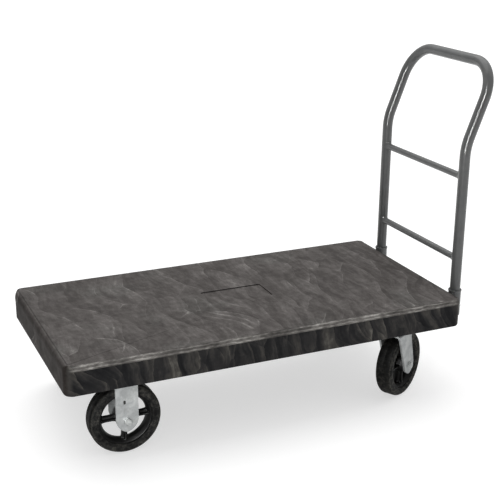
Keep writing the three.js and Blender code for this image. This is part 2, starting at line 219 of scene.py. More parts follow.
def rrect(hx, hy, r, seg=8, step=None, cx=0.0, cy=0.0):
    """rounded rectangle outline, counter-clockwise, with extra points along straight runs every step"""
    pts = []
    cs = ((hx - r, hy - r, 0), (-hx + r, hy - r, 90), (-hx + r, -hy + r, 180), (hx - r, -hy + r, 270))
    for i, (x, y, a0) in enumerate(cs):
        for k in range(seg + 1):
            a = math.radians(a0 + 90.0 * k / seg)
            pts.append((cx + x + r * math.cos(a), cy + y + r * math.sin(a)))
        if step:
            x2, y2, _ = cs[(i + 1) % 4]
            a = math.radians(a0 + 90)
            p = pts[-1]
            q = (cx + x2 + r * math.cos(a), cy + y2 + r * math.sin(a))
            n = step[i % 2]
            for k in range(1, n):
                pts.append((p[0] + (q[0] - p[0]) * k / n, p[1] + (q[1] - p[1]) * k / n))
    return pts


def prism(outline, z0, z1):
    a = [(x, y, z0) for x, y in outline]
    b = [(x, y, z1) for x, y in outline]
    return loft([a, b])


def cyl(r, z0, z1, seg=48, chamfer=0.0):
    rings = []
    if chamfer:
        prof = [(r - chamfer, z0), (r, z0 + chamfer), (r, z1 - chamfer), (r - chamfer, z1)]
    else:
        prof = [(r, z0), (r, z1)]
    for rr, z in prof:
        rings.append([(rr * math.cos(2 * math.pi * j / seg), rr * math.sin(2 * math.pi * j / seg), z) for j in range(seg)])
    return loft(rings)


def T(x=0, y=0, z=0):
    return Matrix.Translation((x * MM, y * MM, z * MM))


def R(axis, a):
    return Matrix.Rotation(a, 4, axis)


ALONG_Y = R("X", -math.pi / 2)      # local +Z to world +Y
ALONG_X = R("Y", math.pi / 2)       # local +Z to world +X


def tube_along(stations, radii, seg=32, cap=True):
    """stations: [(point, tangent)]; a round section carried with least twist"""
    rings = []
    t0 = Vector(stations[0][1]).normalized()
    nrm = Vector((1, 0, 0))
    nrm = (nrm - t0 * nrm.dot(t0)).normalized()
    if nrm.length < 0.5:
        nrm = Vector((0, 1, 0))
    prev = t0
    for i, (p, t) in enumerate(stations):
        t = Vector(t).normalized()
        q = prev.rotation_difference(t)
        nrm = (q @ nrm)
        nrm = (nrm - t * nrm.dot(t)).normalized()
        b = t.cross(nrm)
        r = radii[i] if hasattr(radii, "__len__") else radii
        rings.append([tuple(Vector(p) + (nrm * math.cos(2 * math.pi * j / seg) + b * math.sin(2 * math.pi * j / seg)) * r) for j in range(seg)])
        prev = t
    return loft(rings, cap, cap)


def put(ob, body, nodes=()):
    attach(ob, body)
    for n in ([nodes] if isinstance(nodes, str) else nodes):
        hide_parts(n)
    return ob


# ------------------------------------------------------------------ node helpers
class Nodes:
    def __init__(self, name):
        self.mat = bpy.data.materials.new(name)
        self.mat.use_nodes = True
        self.t = self.mat.node_tree
        self.t.nodes.clear()
        self.out = self.t.nodes.new("ShaderNodeOutputMaterial")
        self.bsdf = self.t.nodes.new("ShaderNodeBsdfPrincipled")
        self.t.links.new(self.bsdf.outputs[0], self.out.inputs[0])
        self.co = self.t.nodes.new("ShaderNodeTexCoord").outputs["Object"]

    def link(self, a, b):
        self.t.links.new(a, b)

    def put(self, sock, v):
        if hasattr(v, "is_output") or isinstance(v, bpy.types.NodeSocket):
            self.t.links.new(v, sock)
        else:
            sock.default_value = v

    def math(self, op, a, b=0.0, c=None, clamp=False):
        n = self.t.nodes.new("ShaderNodeMath")
        n.operation = op
        n.use_clamp = clamp
        self.put(n.inputs[0], a)
        if op not in ("ABSOLUTE", "SINE", "COSINE", "SQRT", "FRACT", "FLOOR"):
            self.put(n.inputs[1], b)
        if c is not None:
            self.put(n.inputs[2], c)
        return n.outputs[0]

    def vmath(self, op, a, b=None, scale=None):
        n = self.t.nodes.new("ShaderNodeVectorMath")
        n.operation = op
        self.put(n.inputs[0], a)
        if b is not None:
            self.put(n.inputs[1], b)
        if scale is not None:
            self.put(n.inputs["Scale"], scale)
        return n.outputs["Value"] if op in ("LENGTH", "DOT_PRODUCT", "DISTANCE") else n.outputs["Vector"]

    def noise(self, vec, scale, detail=2.0, rough=0.5, dist=0.0, color=False, lac=2.0):
        n = self.t.nodes.new("ShaderNodeTexNoise")
        n.noise_dimensions = "3D"
        self.put(n.inputs["Vector"], vec)
        n.inputs["Scale"].default_value = scale
        n.inputs["Detail"].default_value = detail
        n.inputs["Roughness"].default_value = rough
        n.inputs["Lacunarity"].default_value = lac
        n.inputs["Distortion"].default_value = dist
        return n.outputs["Color"] if color else n.outputs["Fac"]

    def voronoi(self, vec, scale, feature="F1", out="Distance", rand=1.0):
        n = self.t.nodes.new("ShaderNodeTexVoronoi")
        n.feature = feature
        self.put(n.inputs["Vector"], vec)
        n.inputs["Scale"].default_value = scale
        n.inputs["Randomness"].default_value = rand
        return n.outputs[out]

    def ramp(self, fac, stops, interp="LINEAR"):
        n = self.t.nodes.new("ShaderNodeValToRGB")
        n.color_ramp.interpolation = interp
        el = n.color_ramp.elements
        while len(el) < len(stops):
            el.new(0.5)
        for e, (p, c) in zip(el, stops):
            e.position = p
            e.color = c if len(c) == 4 else (*c, 1.0)
        self.put(n.inputs[0], fac)
        return n.outputs[0]

    def smooth(self, v, lo, hi):
        n = self.t.nodes.new("ShaderNodeMapRange")
        n.interpolation_type = "SMOOTHSTEP"
        self.put(n.inputs["Value"], v)
        n.inputs["From Min"].default_value = lo
        n.inputs["From Max"].default_value = hi
        n.inputs["To Min"].default_value = 0.0
        n.inputs["To Max"].default_value = 1.0
        return n.outputs["Result"]

    def maprange(self, v, a, b, c, d, clamp=True):
        n = self.t.nodes.new("ShaderNodeMapRange")
        n.clamp = clamp
        self.put(n.inputs["Value"], v)
        for k, x in zip(("From Min", "From Max", "To Min", "To Max"), (a, b, c, d)):
            self.put(n.inputs[k], x)
        return n.outputs["Result"]

    def mix(self, fac, a, b, mode="MIX"):
        n = self.t.nodes.new("ShaderNodeMix")
        n.data_type = "RGBA"
        n.blend_type = mode
        n.clamp_factor = True
        self.put(n.inputs["Factor"], fac)
        for s, v in ((n.inputs[6], a), (n.inputs[7], b)):
            self.put(s, v if not isinstance(v, tuple) else (*v[:3], 1.0))
        return n.outputs[2]

    def mixf(self, fac, a, b):
        n = self.t.nodes.new("ShaderNodeMix")
        n.data_type = "FLOAT"
        n.clamp_factor = True
        self.put(n.inputs["Factor"], fac)
        self.put(n.inputs[2], a)
        self.put(n.inputs[3], b)
        return n.outputs[0]

    def sep(self, v):
        n = self.t.nodes.new("ShaderNodeSeparateXYZ")
        self.put(n.inputs[0], v)
        return n.outputs

    def comb(self, x, y, z):
        n = self.t.nodes.new("ShaderNodeCombineXYZ")
        for s, v in zip(n.inputs, (x, y, z)):
            self.put(s, v)
        return n.outputs[0]

    def mapping(self, v, scale=(1, 1, 1), rot=(0, 0, 0), loc=(0, 0, 0)):
        n = self.t.nodes.new("ShaderNodeMapping")
        self.put(n.inputs["Vector"], v)
        n.inputs["Scale"].default_value = scale
        n.inputs["Rotation"].default_value = rot
        n.inputs["Location"].default_value = loc
        return n.outputs[0]

    def normal_z(self):
        g = self.t.nodes.new("ShaderNodeNewGeometry")
        return self.sep(g.outputs["Normal"])

    def attr(self, name):
        n = self.t.nodes.new("ShaderNodeAttribute")
        n.attribute_name = name
        return n.outputs["Fac"]

    def bump(self, height, strength, distance, normal=None):
        n = self.t.nodes.new("ShaderNodeBump")
        n.inputs["Strength"].default_value = strength
        n.inputs["Distance"].default_value = distance
        self.put(n.inputs["Height"], height)
        if normal is not None:
            self.put(n.inputs["Normal"], normal)
        return n.outputs[0]

    def set(self, **kw):
        names = {"color": "Base Color", "rough": "Roughness", "metal": "Metallic", "spec": "Specular IOR Level",
                 "coat": "Coat Weight", "coat_rough": "Coat Roughness", "normal": "Normal", "ior": "IOR",
                 "sheen": "Sheen Weight", "sheen_rough": "Sheen Roughness", "aniso": "Anisotropic"}
        for k, v in kw.items():
            s = self.bsdf.inputs[names[k]]
            if k == "color" and isinstance(v, tuple):
                v = (*v[:3], 1.0)
            self.put(s, v)
        return self.mat


def lin(*c):
    """0-255 display values to linear"""
    r = []
    for v in c:
        v /= 255.0
        r.append(v / 12.92 if v <= 0.04045 else ((v + 0.055) / 1.055) ** 2.4)
    return tuple(r)


# ------------------------------------------------------------------ materials
def mat_deck():
    """Structural-foam plastic: the melt ran out across the deck and froze in overlapping feathered folds."""
    m = Nodes("deck_foam_plastic")
    p = m.co
    big = m.vmath("SUBTRACT", m.noise(p, 2.0, 1.0, 0.5, color=True), (0.5, 0.5, 0.5))
    mid = m.vmath("SUBTRACT", m.noise(p, 7.0, 2.0, 0.5, color=True), (0.5, 0.5, 0.5))
    fray = m.vmath("SUBTRACT", m.noise(p, 55.0, 2.0, 0.6, color=True), (0.5, 0.5, 0.5))
    q = m.vmath("ADD", p, m.vmath("SCALE", big, scale=0.24))
    q = m.vmath("ADD", q, m.vmath("SCALE", mid, scale=0.034))
    q = m.vmath("ADD", q, m.vmath("SCALE", fray, scale=0.0060))

    def voro(vec, feature, rand=0.95):
        n = m.t.nodes.new("ShaderNodeTexVoronoi")
        n.feature = feature
        m.put(n.inputs["Vector"], vec)
        n.inputs["Scale"].default_value = 1.0
        n.inputs["Randomness"].default_value = rand
        return n

    def feathers(vec, hair_n=20.0, slant=1.1, lead=0.06):
        """long cells, each with its own run of streaks, a tone that climbs across it and a pale leading edge"""
        f1 = voro(vec, "F1")
        ed = voro(vec, "DISTANCE_TO_EDGE").outputs["Distance"]
        d = m.sep(m.vmath("SUBTRACT", vec, f1.outputs["Position"]))
        rnd = m.sep(f1.outputs["Color"])
        lean = m.math("MULTIPLY", m.math("SUBTRACT", rnd[0], 0.5), slant)
        bow = m.math("MULTIPLY", m.math("SUBTRACT", rnd[1], 0.5), 0.9)
        u = m.math("MULTIPLY_ADD", d[1], lean, d[0])
        u = m.math("MULTIPLY_ADD", m.math("MULTIPLY", d[1], d[1]), bow, u)
        u = m.math("DIVIDE", u, m.math("MULTIPLY_ADD", d[1], 0.55, 1.25))
        hair = m.noise(m.comb(m.math("MULTIPLY", u, hair_n), m.math("MULTIPLY", d[1], 1.3), m.math("MULTIPLY", rnd[2], 40.0)), 1.0, 3.0, 0.62)
        wide = m.noise(m.comb(m.math("MULTIPLY", u, hair_n * 0.22), m.math("MULTIPLY", d[1], 0.8), m.math("MULTIPLY", rnd[2], 40.0)), 1.0, 1.0, 0.5)
        shade = m.smooth(u, -0.42, 0.42)
        front = m.smooth(u, -0.02, 0.12)
        crest = m.math("MULTIPLY", m.math("SUBTRACT", 1.0, m.smooth(ed, 0.0, lead)), front)
        return hair, wide, shade, crest, rnd[1]

    turn = m.math("MULTIPLY", m.math("SUBTRACT", m.noise(p, 1.7, 1.0, 0.5), 0.5), 2.2)
    rot = m.t.nodes.new("ShaderNodeVectorRotate")
    rot.rotation_type = "Z_AXIS"
    m.put(rot.inputs["Vector"], q)
    m.put(rot.inputs["Angle"], turn)
    qr = rot.outputs[0]
    h1, w1, s1, c1, t1 = feathers(m.mapping(qr, scale=(13.0, 4.6, 0.4), rot=(0, 0, math.radians(-9))), 9.0, 1.3, 0.045)
    h2, w2, s2, c2, t2 = feathers(m.mapping(q, scale=(17.0, 6.0, 0.4), rot=(0, 0, math.radians(24)), loc=(3.3, 1.7, 0.0)), 7.0, 1.3, 0.055)
    gate = m.smooth(m.noise(p, 8.5, 3.0, 0.6, 0.4), 0.46, 0.62)
    k2 = m.smooth(m.noise(m.mapping(p, loc=(5, 2, 1)), 3.4, 2.0, 0.5, 0.6), 0.46, 0.58)
    hair, wide, shade, tone = m.mixf(k2, h1, h2), m.mixf(k2, w1, w2), m.mixf(k2, s1, s2), m.mixf(k2, t1, t2)
    crest = m.math("MULTIPLY", m.mixf(k2, c1, c2), m.math("MULTIPLY_ADD", gate, 0.96, 0.04))

    broad = m.noise(q, 4.2, 3.0, 0.55, 0.3)
    mott = m.noise(p, 48.0, 4.0, 0.62)
    grain = m.noise(p, 240.0, 3.0, 0.6)

    # fine drawn-out streaks; patches of them run at different slants
    pf = m.vmath("ADD", p, m.vmath("SCALE", mid, scale=0.050))
    pf = m.vmath("ADD", pf, m.vmath("SCALE", fray, scale=0.0045))
    sa = m.noise(m.mapping(pf, scale=(46.0, 7.0, 10.0), rot=(0, 0, math.radians(-16))), 1.0, 4.0, 0.68)
    sb = m.noise(m.mapping(pf, scale=(42.0, 7.0, 10.0), rot=(0, 0, math.radians(34)), loc=(2, 5, 0)), 1.0, 4.0, 0.68)
    sc = m.noise(m.mapping(pf, scale=(38.0, 8.0, 10.0), rot=(0, 0, math.radians(68)), loc=(7, 1, 0)), 1.0, 4.0, 0.68)
    px = m.sep(p)[0]
    ma = m.smooth(m.math("ADD", m.noise(p, 4.6, 2.0, 0.55), m.math("MULTIPLY", px, -0.10)), 0.46, 0.60)
    mb = m.smooth(m.math("ADD", m.noise(m.mapping(p, loc=(9, 4, 2)), 5.2, 2.0, 0.55), m.math("MULTIPLY", px, -0.16)), 0.58, 0.70)
    streaks = m.mixf(mb, m.mixf(ma, sa, sb), sc)
    cloud = m.noise(q, 13.0, 3.0, 0.6)
    v = m.math("MULTIPLY_ADD", m.math("SUBTRACT", shade, 0.5), 0.15, 0.44)
    v = m.math("MULTIPLY_ADD", m.math("SUBTRACT", tone, 0.5), 0.06, v)
    v = m.math("MULTIPLY_ADD", m.math("SUBTRACT", wide, 0.5), 0.18, v)
    v = m.math("MULTIPLY_ADD", m.math("SUBTRACT", broad, 0.5), 0.18, v)
    v = m.math("MULTIPLY_ADD", m.math("SUBTRACT", cloud, 0.5), 0.36, v)
    v = m.math("MULTIPLY_ADD", m.math("SUBTRACT", streaks, 0.5), 0.78, v)
    v = m.math("MULTIPLY_ADD", m.math("SUBTRACT", hair, 0.5), 0.30, v)
    v = m.math("MULTIPLY_ADD", m.math("SUBTRACT", mott, 0.5), 0.46, v)
    v = m.math("MULTIPLY_ADD", m.math("SUBTRACT", grain, 0.5), 0.26, v)
    v = m.math("MULTIPLY_ADD", crest, 0.20, v)
    top = m.ramp(v, [(0.0, lin(41, 39, 37)), (0.28, lin(62, 58, 56)), (0.45, lin(76, 72, 70)), (0.62, lin(92, 88, 86)), (1.0, lin(148, 145, 141))])
    cool = m.smooth(m.noise(p, 4.5, 2.0, 0.5), 0.5, 0.66)
    top = m.mix(m.math("MULTIPLY", cool, 0.30), top, m.mix(1.0, top, (0.93, 1.03, 1.0), "MULTIPLY"))

    # the walls: the same feathers, stood up, on a darker ramp than the top that is painted shade
    pw = m.vmath("ADD", p, m.vmath("SCALE", mid, scale=0.055))
    pw = m.vmath("ADD", pw, m.vmath("SCALE", fray, scale=0.0050))
    c = m.sep(pw)
    along = m.math("ADD", c[0], c[1])
    tilt = m.math("MULTIPLY", m.math("SUBTRACT", m.noise(m.comb(m.math("MULTIPLY", along, 3.0), 0.0, 1.0), 1.0, 1.0, 0.5), 0.42), 3.2)
    along = m.math("ADD", along, m.math("MULTIPLY", m.math("SUBTRACT", c[2], 0.26), tilt))
    wv = m.comb(m.math("MULTIPLY", along, 21.0), m.math("MULTIPLY", c[2], 7.0), 0.0)
    wh, ww, ws, wc, wt = feathers(wv, 5.0, 0.9, 0.16)
    strong = m.smooth(m.noise(m.comb(m.math("MULTIPLY", along, 2.6), 0.0, 7.0), 1.0, 2.0, 0.5), 0.42, 0.62)
    wst = m.noise(m.comb(m.math("MULTIPLY", along, 42.0), m.math("MULTIPLY", c[2], 7.0), 3.0), 1.0, 3.0, 0.6, 0.3)
    w = m.math("MULTIPLY_ADD", m.math("SUBTRACT", ws, 0.5), 0.22, 0.42)
    w = m.math("MULTIPLY_ADD", m.math("SUBTRACT", ww, 0.5), 0.40, w)
    w = m.math("MULTIPLY_ADD", m.math("SUBTRACT", wh, 0.5), 0.40, w)
    w = m.math("MULTIPLY_ADD", m.math("SUBTRACT", wst, 0.5), 0.86, w)
    w = m.math("MULTIPLY_ADD", m.math("SUBTRACT", broad, 0.5), 0.50, w)
    w = m.math("MULTIPLY_ADD", m.math("SUBTRACT", mott, 0.5), 0.44, w)
    w = m.math("MULTIPLY_ADD", wc, m.math("MULTIPLY_ADD", strong, 0.15, 0.03), w)
    wall = m.ramp(w, [(0.0, lin(25, 25, 27)), (0.30, lin(39, 39, 40)), (0.50, lin(52, 51, 51)), (0.70, lin(72, 70, 67)), (1.0, lin(122, 119, 113))])
    # painted light: the standing corners and the faces turned toward the ends are made paler, further down

    wbrush = wh

    nz = m.normal_z()
    # the short ends keep the top's pattern over their soft roll, darkened as painted shade
    hz = m.math("MAXIMUM", m.math("SQRT", m.math("SUBTRACT", 1.0, m.math("MINIMUM", m.math("MULTIPLY", nz[2], nz[2]), 0.9999))), 0.01)
    ends = m.smooth(m.math("DIVIDE", m.math("ABSOLUTE", nz[0]), hz), 0.55, 0.90)
    # painted light: faces turned toward the ends, the rounded corners included, are mixed paler, broken by noise
    endward_painted_light = m.math("MULTIPLY", m.smooth(m.math("DIVIDE", m.math("ABSOLUTE", nz[0]), hz), 0.12, 0.60), m.smooth(m.noise(p, 36.0, 4.0, 0.65), 0.30, 0.62))
    wall = m.mix(m.math("MULTIPLY", endward_painted_light, 0.70), wall, lin(78, 75, 72))
    # painted shade: the ends take the top's colour multiplied darker
    wall = m.mix(ends, wall, m.mix(1.0, top, (0.385, 0.36, 0.345), "MULTIPLY"))
    # painted shade: faces that turn away from up take the darker wall colour, upward faces take the top's
    up = m.mixf(ends, m.smooth(nz[2], 0.62, 0.97), m.smooth(nz[2], 0.30, 1.0))
    col = m.mix(up, wall, top)

    # scuffed band along the rolled long edges, painted paler than the top as wear and a painted highlight on the slope,
    # and paler again along its upper and lower rims as wear and painted edge highlights
    z = m.sep(p)[2]
    on = m.attr("band")
    band_wear_and_sheen = m.noise(m.mapping(p, scale=(1.0, 1.0, 3.0)), 52.0, 4.0, 0.65)
    runs = m.noise(p, 7.0, 3.0, 0.6)
    wob = m.math("MULTIPLY", m.math("SUBTRACT", m.noise(p, 19.0, 4.0, 0.7), 0.5), 0.008)
    zz = m.math("ADD", z, wob)
    d1 = m.math("ABSOLUTE", m.math("SUBTRACT", zz, (DECK_TOP - 3.6) * MM))
    d2 = m.math("ABSOLUTE", m.math("SUBTRACT", zz, (DECK_TOP - 13.0) * MM))
    # wear and painted edge highlights: pale lines along the band's upper and lower rims
    rim = m.math("SUBTRACT", 1.0, m.smooth(m.math("MINIMUM", d1, d2), 0.0006, 0.0030))
    bv = m.math("MULTIPLY_ADD", rim, 0.17, m.math("MULTIPLY_ADD", band_wear_and_sheen, 0.85, -0.06))
    bv = m.math("MULTIPLY_ADD", m.math("SUBTRACT", runs, 0.5), 0.7, bv)
    band = m.ramp(bv, [(0.12, lin(70, 68, 66)), (0.34, lin(102, 99, 96)), (0.52, lin(136, 133, 129)), (0.72, lin(196, 193, 188))])
    col = m.mix(m.math("MULTIPLY", on, m.maprange(runs, 0.30, 0.62, 0.60, 1.0)), col, band)

    rough = m.mixf(crest, m.maprange(v, 0.3, 0.7, 0.56, 0.46), 0.42)
    h = m.math("ADD", m.math("MULTIPLY", shade, 0.35), m.math("MULTIPLY", grain, 0.10))
    h = m.math("ADD", h, m.math("MULTIPLY", hair, 0.25))
    h = m.math("ADD", h, m.math("MULTIPLY", mott, 0.25))
    h = m.math("ADD", h, m.math("MULTIPLY", wbrush, m.math("MULTIPLY", m.math("SUBTRACT", 1.0, up), 0.3)))
    return m.set(color=col, rough=rough, normal=m.bump(h, 0.30, 0.0012), spec=m.math("MULTIPLY_ADD", up, 0.07, 0.02))


def mat_paint():
    """Semi-gloss grey powder coat with a fine orange peel and a few rubbed places."""
    m = Nodes("grey_powder_coat")
    p = m.co
    peel = m.noise(p, 520.0, 2.0, 0.5)
    slow = m.noise(p, 26.0, 3.0, 0.6)
    dust = m.noise(p, 8.0, 3.0, 0.6, 0.4)
    scuff = m.noise(m.mapping(p, scale=(1.0, 1.0, 0.2)), 130.0, 4.0, 0.7)
    col = m.ramp(slow, [(0.3, lin(96, 97, 97)), (0.6, lin(103, 104, 104)), (0.8, lin(111, 112, 111))])
    col = m.mix(m.math("MULTIPLY", m.smooth(dust, 0.5, 0.8), 0.25), col, lin(92, 93, 90))
    marks = m.math("MULTIPLY", m.smooth(scuff, 0.72, 0.8), m.smooth(dust, 0.45, 0.6))
    col = m.mix(m.math("MULTIPLY", marks, 0.5), col, lin(122, 122, 118))
    rough = m.maprange(slow, 0.3, 0.7, 0.15, 0.21)
    rough = m.math("ADD", rough, m.math("MULTIPLY", marks, 0.25))
    return m.set(color=col, rough=rough, normal=m.bump(peel, 0.06, 0.0002), spec=0.26)


def mat_zinc():
    """Bright zinc plate over pressed steel: soft bloom, faint rolling lines, dull patches and rubbed streaks, with
    painted shade in the pressed dimples.
    """
    m = Nodes("zinc_plate")
    p = m.co
    lines = m.noise(m.mapping(p, scale=(40.0, 40.0, 420.0)), 1.0, 3.0, 0.6)
    rub = m.noise(m.mapping(p, scale=(260.0, 260.0, 40.0), rot=(0.0, 0.7, 0.0)), 1.0, 3.0, 0.65)
    bloom = m.noise(p, 34.0, 4.0, 0.62, 0.6)
    spots = m.voronoi(p, 170.0)
    col = m.ramp(bloom, [(0.28, lin(128, 130, 130)), (0.5, lin(147, 149, 149)), (0.75, lin(168, 170, 169))])
    stain = m.smooth(m.noise(p, 17.0, 4.0, 0.68, 0.9), 0.56, 0.74)
    col = m.mix(m.math("MULTIPLY", stain, 0.45), col, lin(128, 128, 124))
    col = m.mix(m.math("MULTIPLY", m.smooth(rub, 0.60, 0.74), 0.35), col, lin(214, 215, 213))
    # painted shade: the vertices inside each pressed dimple are painted dark
    col = m.mix(m.attr("dimple_painted_shade"), col, lin(52, 52, 50))
    rough = m.maprange(lines, 0.2, 0.8, 0.48, 0.62)
    rough = m.math("ADD", rough, m.math("MULTIPLY", stain, 0.14))
    h = m.math("ADD", m.math("MULTIPLY", lines, 0.4), m.math("MULTIPLY", spots, 0.3))
    h = m.math("ADD", h, m.math("MULTIPLY", bloom, 0.8))
    return m.set(color=col, rough=rough, metal=0.80, normal=m.bump(h, 0.22, 0.0005))


def mat_fastener():
    """Zinc-plated hardware with a patchy tone and fine bumps."""
    m = Nodes("zinc_hardware")
    p = m.co
    a = m.noise(p, 110.0, 3.0, 0.6)
    b = m.noise(m.mapping(p, scale=(1, 1, 5)), 260.0, 2.0, 0.6)
    col = m.ramp(a, [(0.3, lin(126, 128, 128)), (0.55, lin(158, 160, 159)), (0.8, lin(194, 196, 194))])
    rough = m.maprange(b, 0.3, 0.7, 0.34, 0.52)
    return m.set(color=col, rough=rough, metal=0.88, normal=m.bump(b, 0.14, 0.0002))


def mat_tyre():
    """Moulded rubber, chalky on the tread and streaked round the sidewall; the tread is painted darker as painted shade
    and the shoulder ring paler as scuffs and a painted edge highlight.
    """
    m = Nodes("moulded_rubber")
    p = m.co
    n1 = m.noise(p, 24.0, 3.0, 0.6)
    n2 = m.noise(p, 300.0, 2.0, 0.6)
    n3 = m.noise(p, 70.0, 4.0, 0.7, 0.5)
    n4 = m.noise(p, 130.0, 4.0, 0.7)
    col = m.ramp(m.math("MULTIPLY_ADD", m.math("SUBTRACT", n3, 0.5), 1.3, m.math("MULTIPLY_ADD", m.math("SUBTRACT", n4, 0.5), 1.2, n1)), [(0.22, lin(27, 27, 27)), (0.5, lin(46, 46, 45)), (0.8, lin(80, 78, 74))])
    tread = m.attr("tread")
    dust = m.math("MULTIPLY", tread, m.smooth(n3, 0.40, 0.75))
    col = m.mix(m.math("MULTIPLY", dust, 0.16), col, lin(62, 59, 54))
    # painted shade: the tread is painted far darker than the sidewall
    col = m.mix(m.math("MULTIPLY", tread, 0.75), col, m.mix(1.0, col, (0.20, 0.20, 0.19), "MULTIPLY"))
    # scuffs and a painted edge highlight: the shoulder ring is painted paler in noisy patches
    ringm = m.attr("shoulder")
    col = m.mix(m.math("MULTIPLY", ringm, m.smooth(n4, 0.36, 0.62)), col, lin(74, 73, 69))
    rough = m.maprange(n1, 0.3, 0.7, 0.52, 0.66)
    return m.set(color=col, rough=rough, spec=0.03, normal=m.bump(m.math("ADD", n2, m.math("MULTIPLY", n3, 0.8)), 0.30, 0.0006))


def mat_core():
    """Black painted casting with a sandy skin, set blacker than the paint as painted shade."""
    m = Nodes("black_casting")
    p = m.co
    n1 = m.noise(p, 200.0, 3.0, 0.65)
    n2 = m.noise(p, 30.0, 3.0, 0.6)
    # partly painted shade: the black paint is set near no reflectance, darker than real paint
    col = m.ramp(n2, [(0.3, lin(4, 4, 4)), (0.6, lin(7, 7, 7)), (0.85, lin(14, 13, 13))])
    rough = m.maprange(n2, 0.3, 0.7, 0.40, 0.56)
    return m.set(color=col, rough=rough, spec=0.16, normal=m.bump(n1, 0.30, 0.0006))


def mat_floor():
    m = Nodes("pale_floor")
    p = m.co
    n = m.noise(p, 1.2, 2.0, 0.5)
    col = m.ramp(n, [(0.2, (0.50, 0.50, 0.50)), (0.8, (0.53, 0.53, 0.53))])
    m.bsdf.inputs["Emission Color"].default_value = (1.0, 1.0, 1.0, 1.0)
    m.bsdf.inputs["Emission Strength"].default_value = 0.60
    return m.set(color=col, rough=0.9, spec=0.1)


M_DECK, M_PAINT, M_ZINC, M_FAST, M_TYRE, M_CORE = mat_deck(), mat_paint(), mat_zinc(), mat_fastener(), mat_tyre(), mat_core()


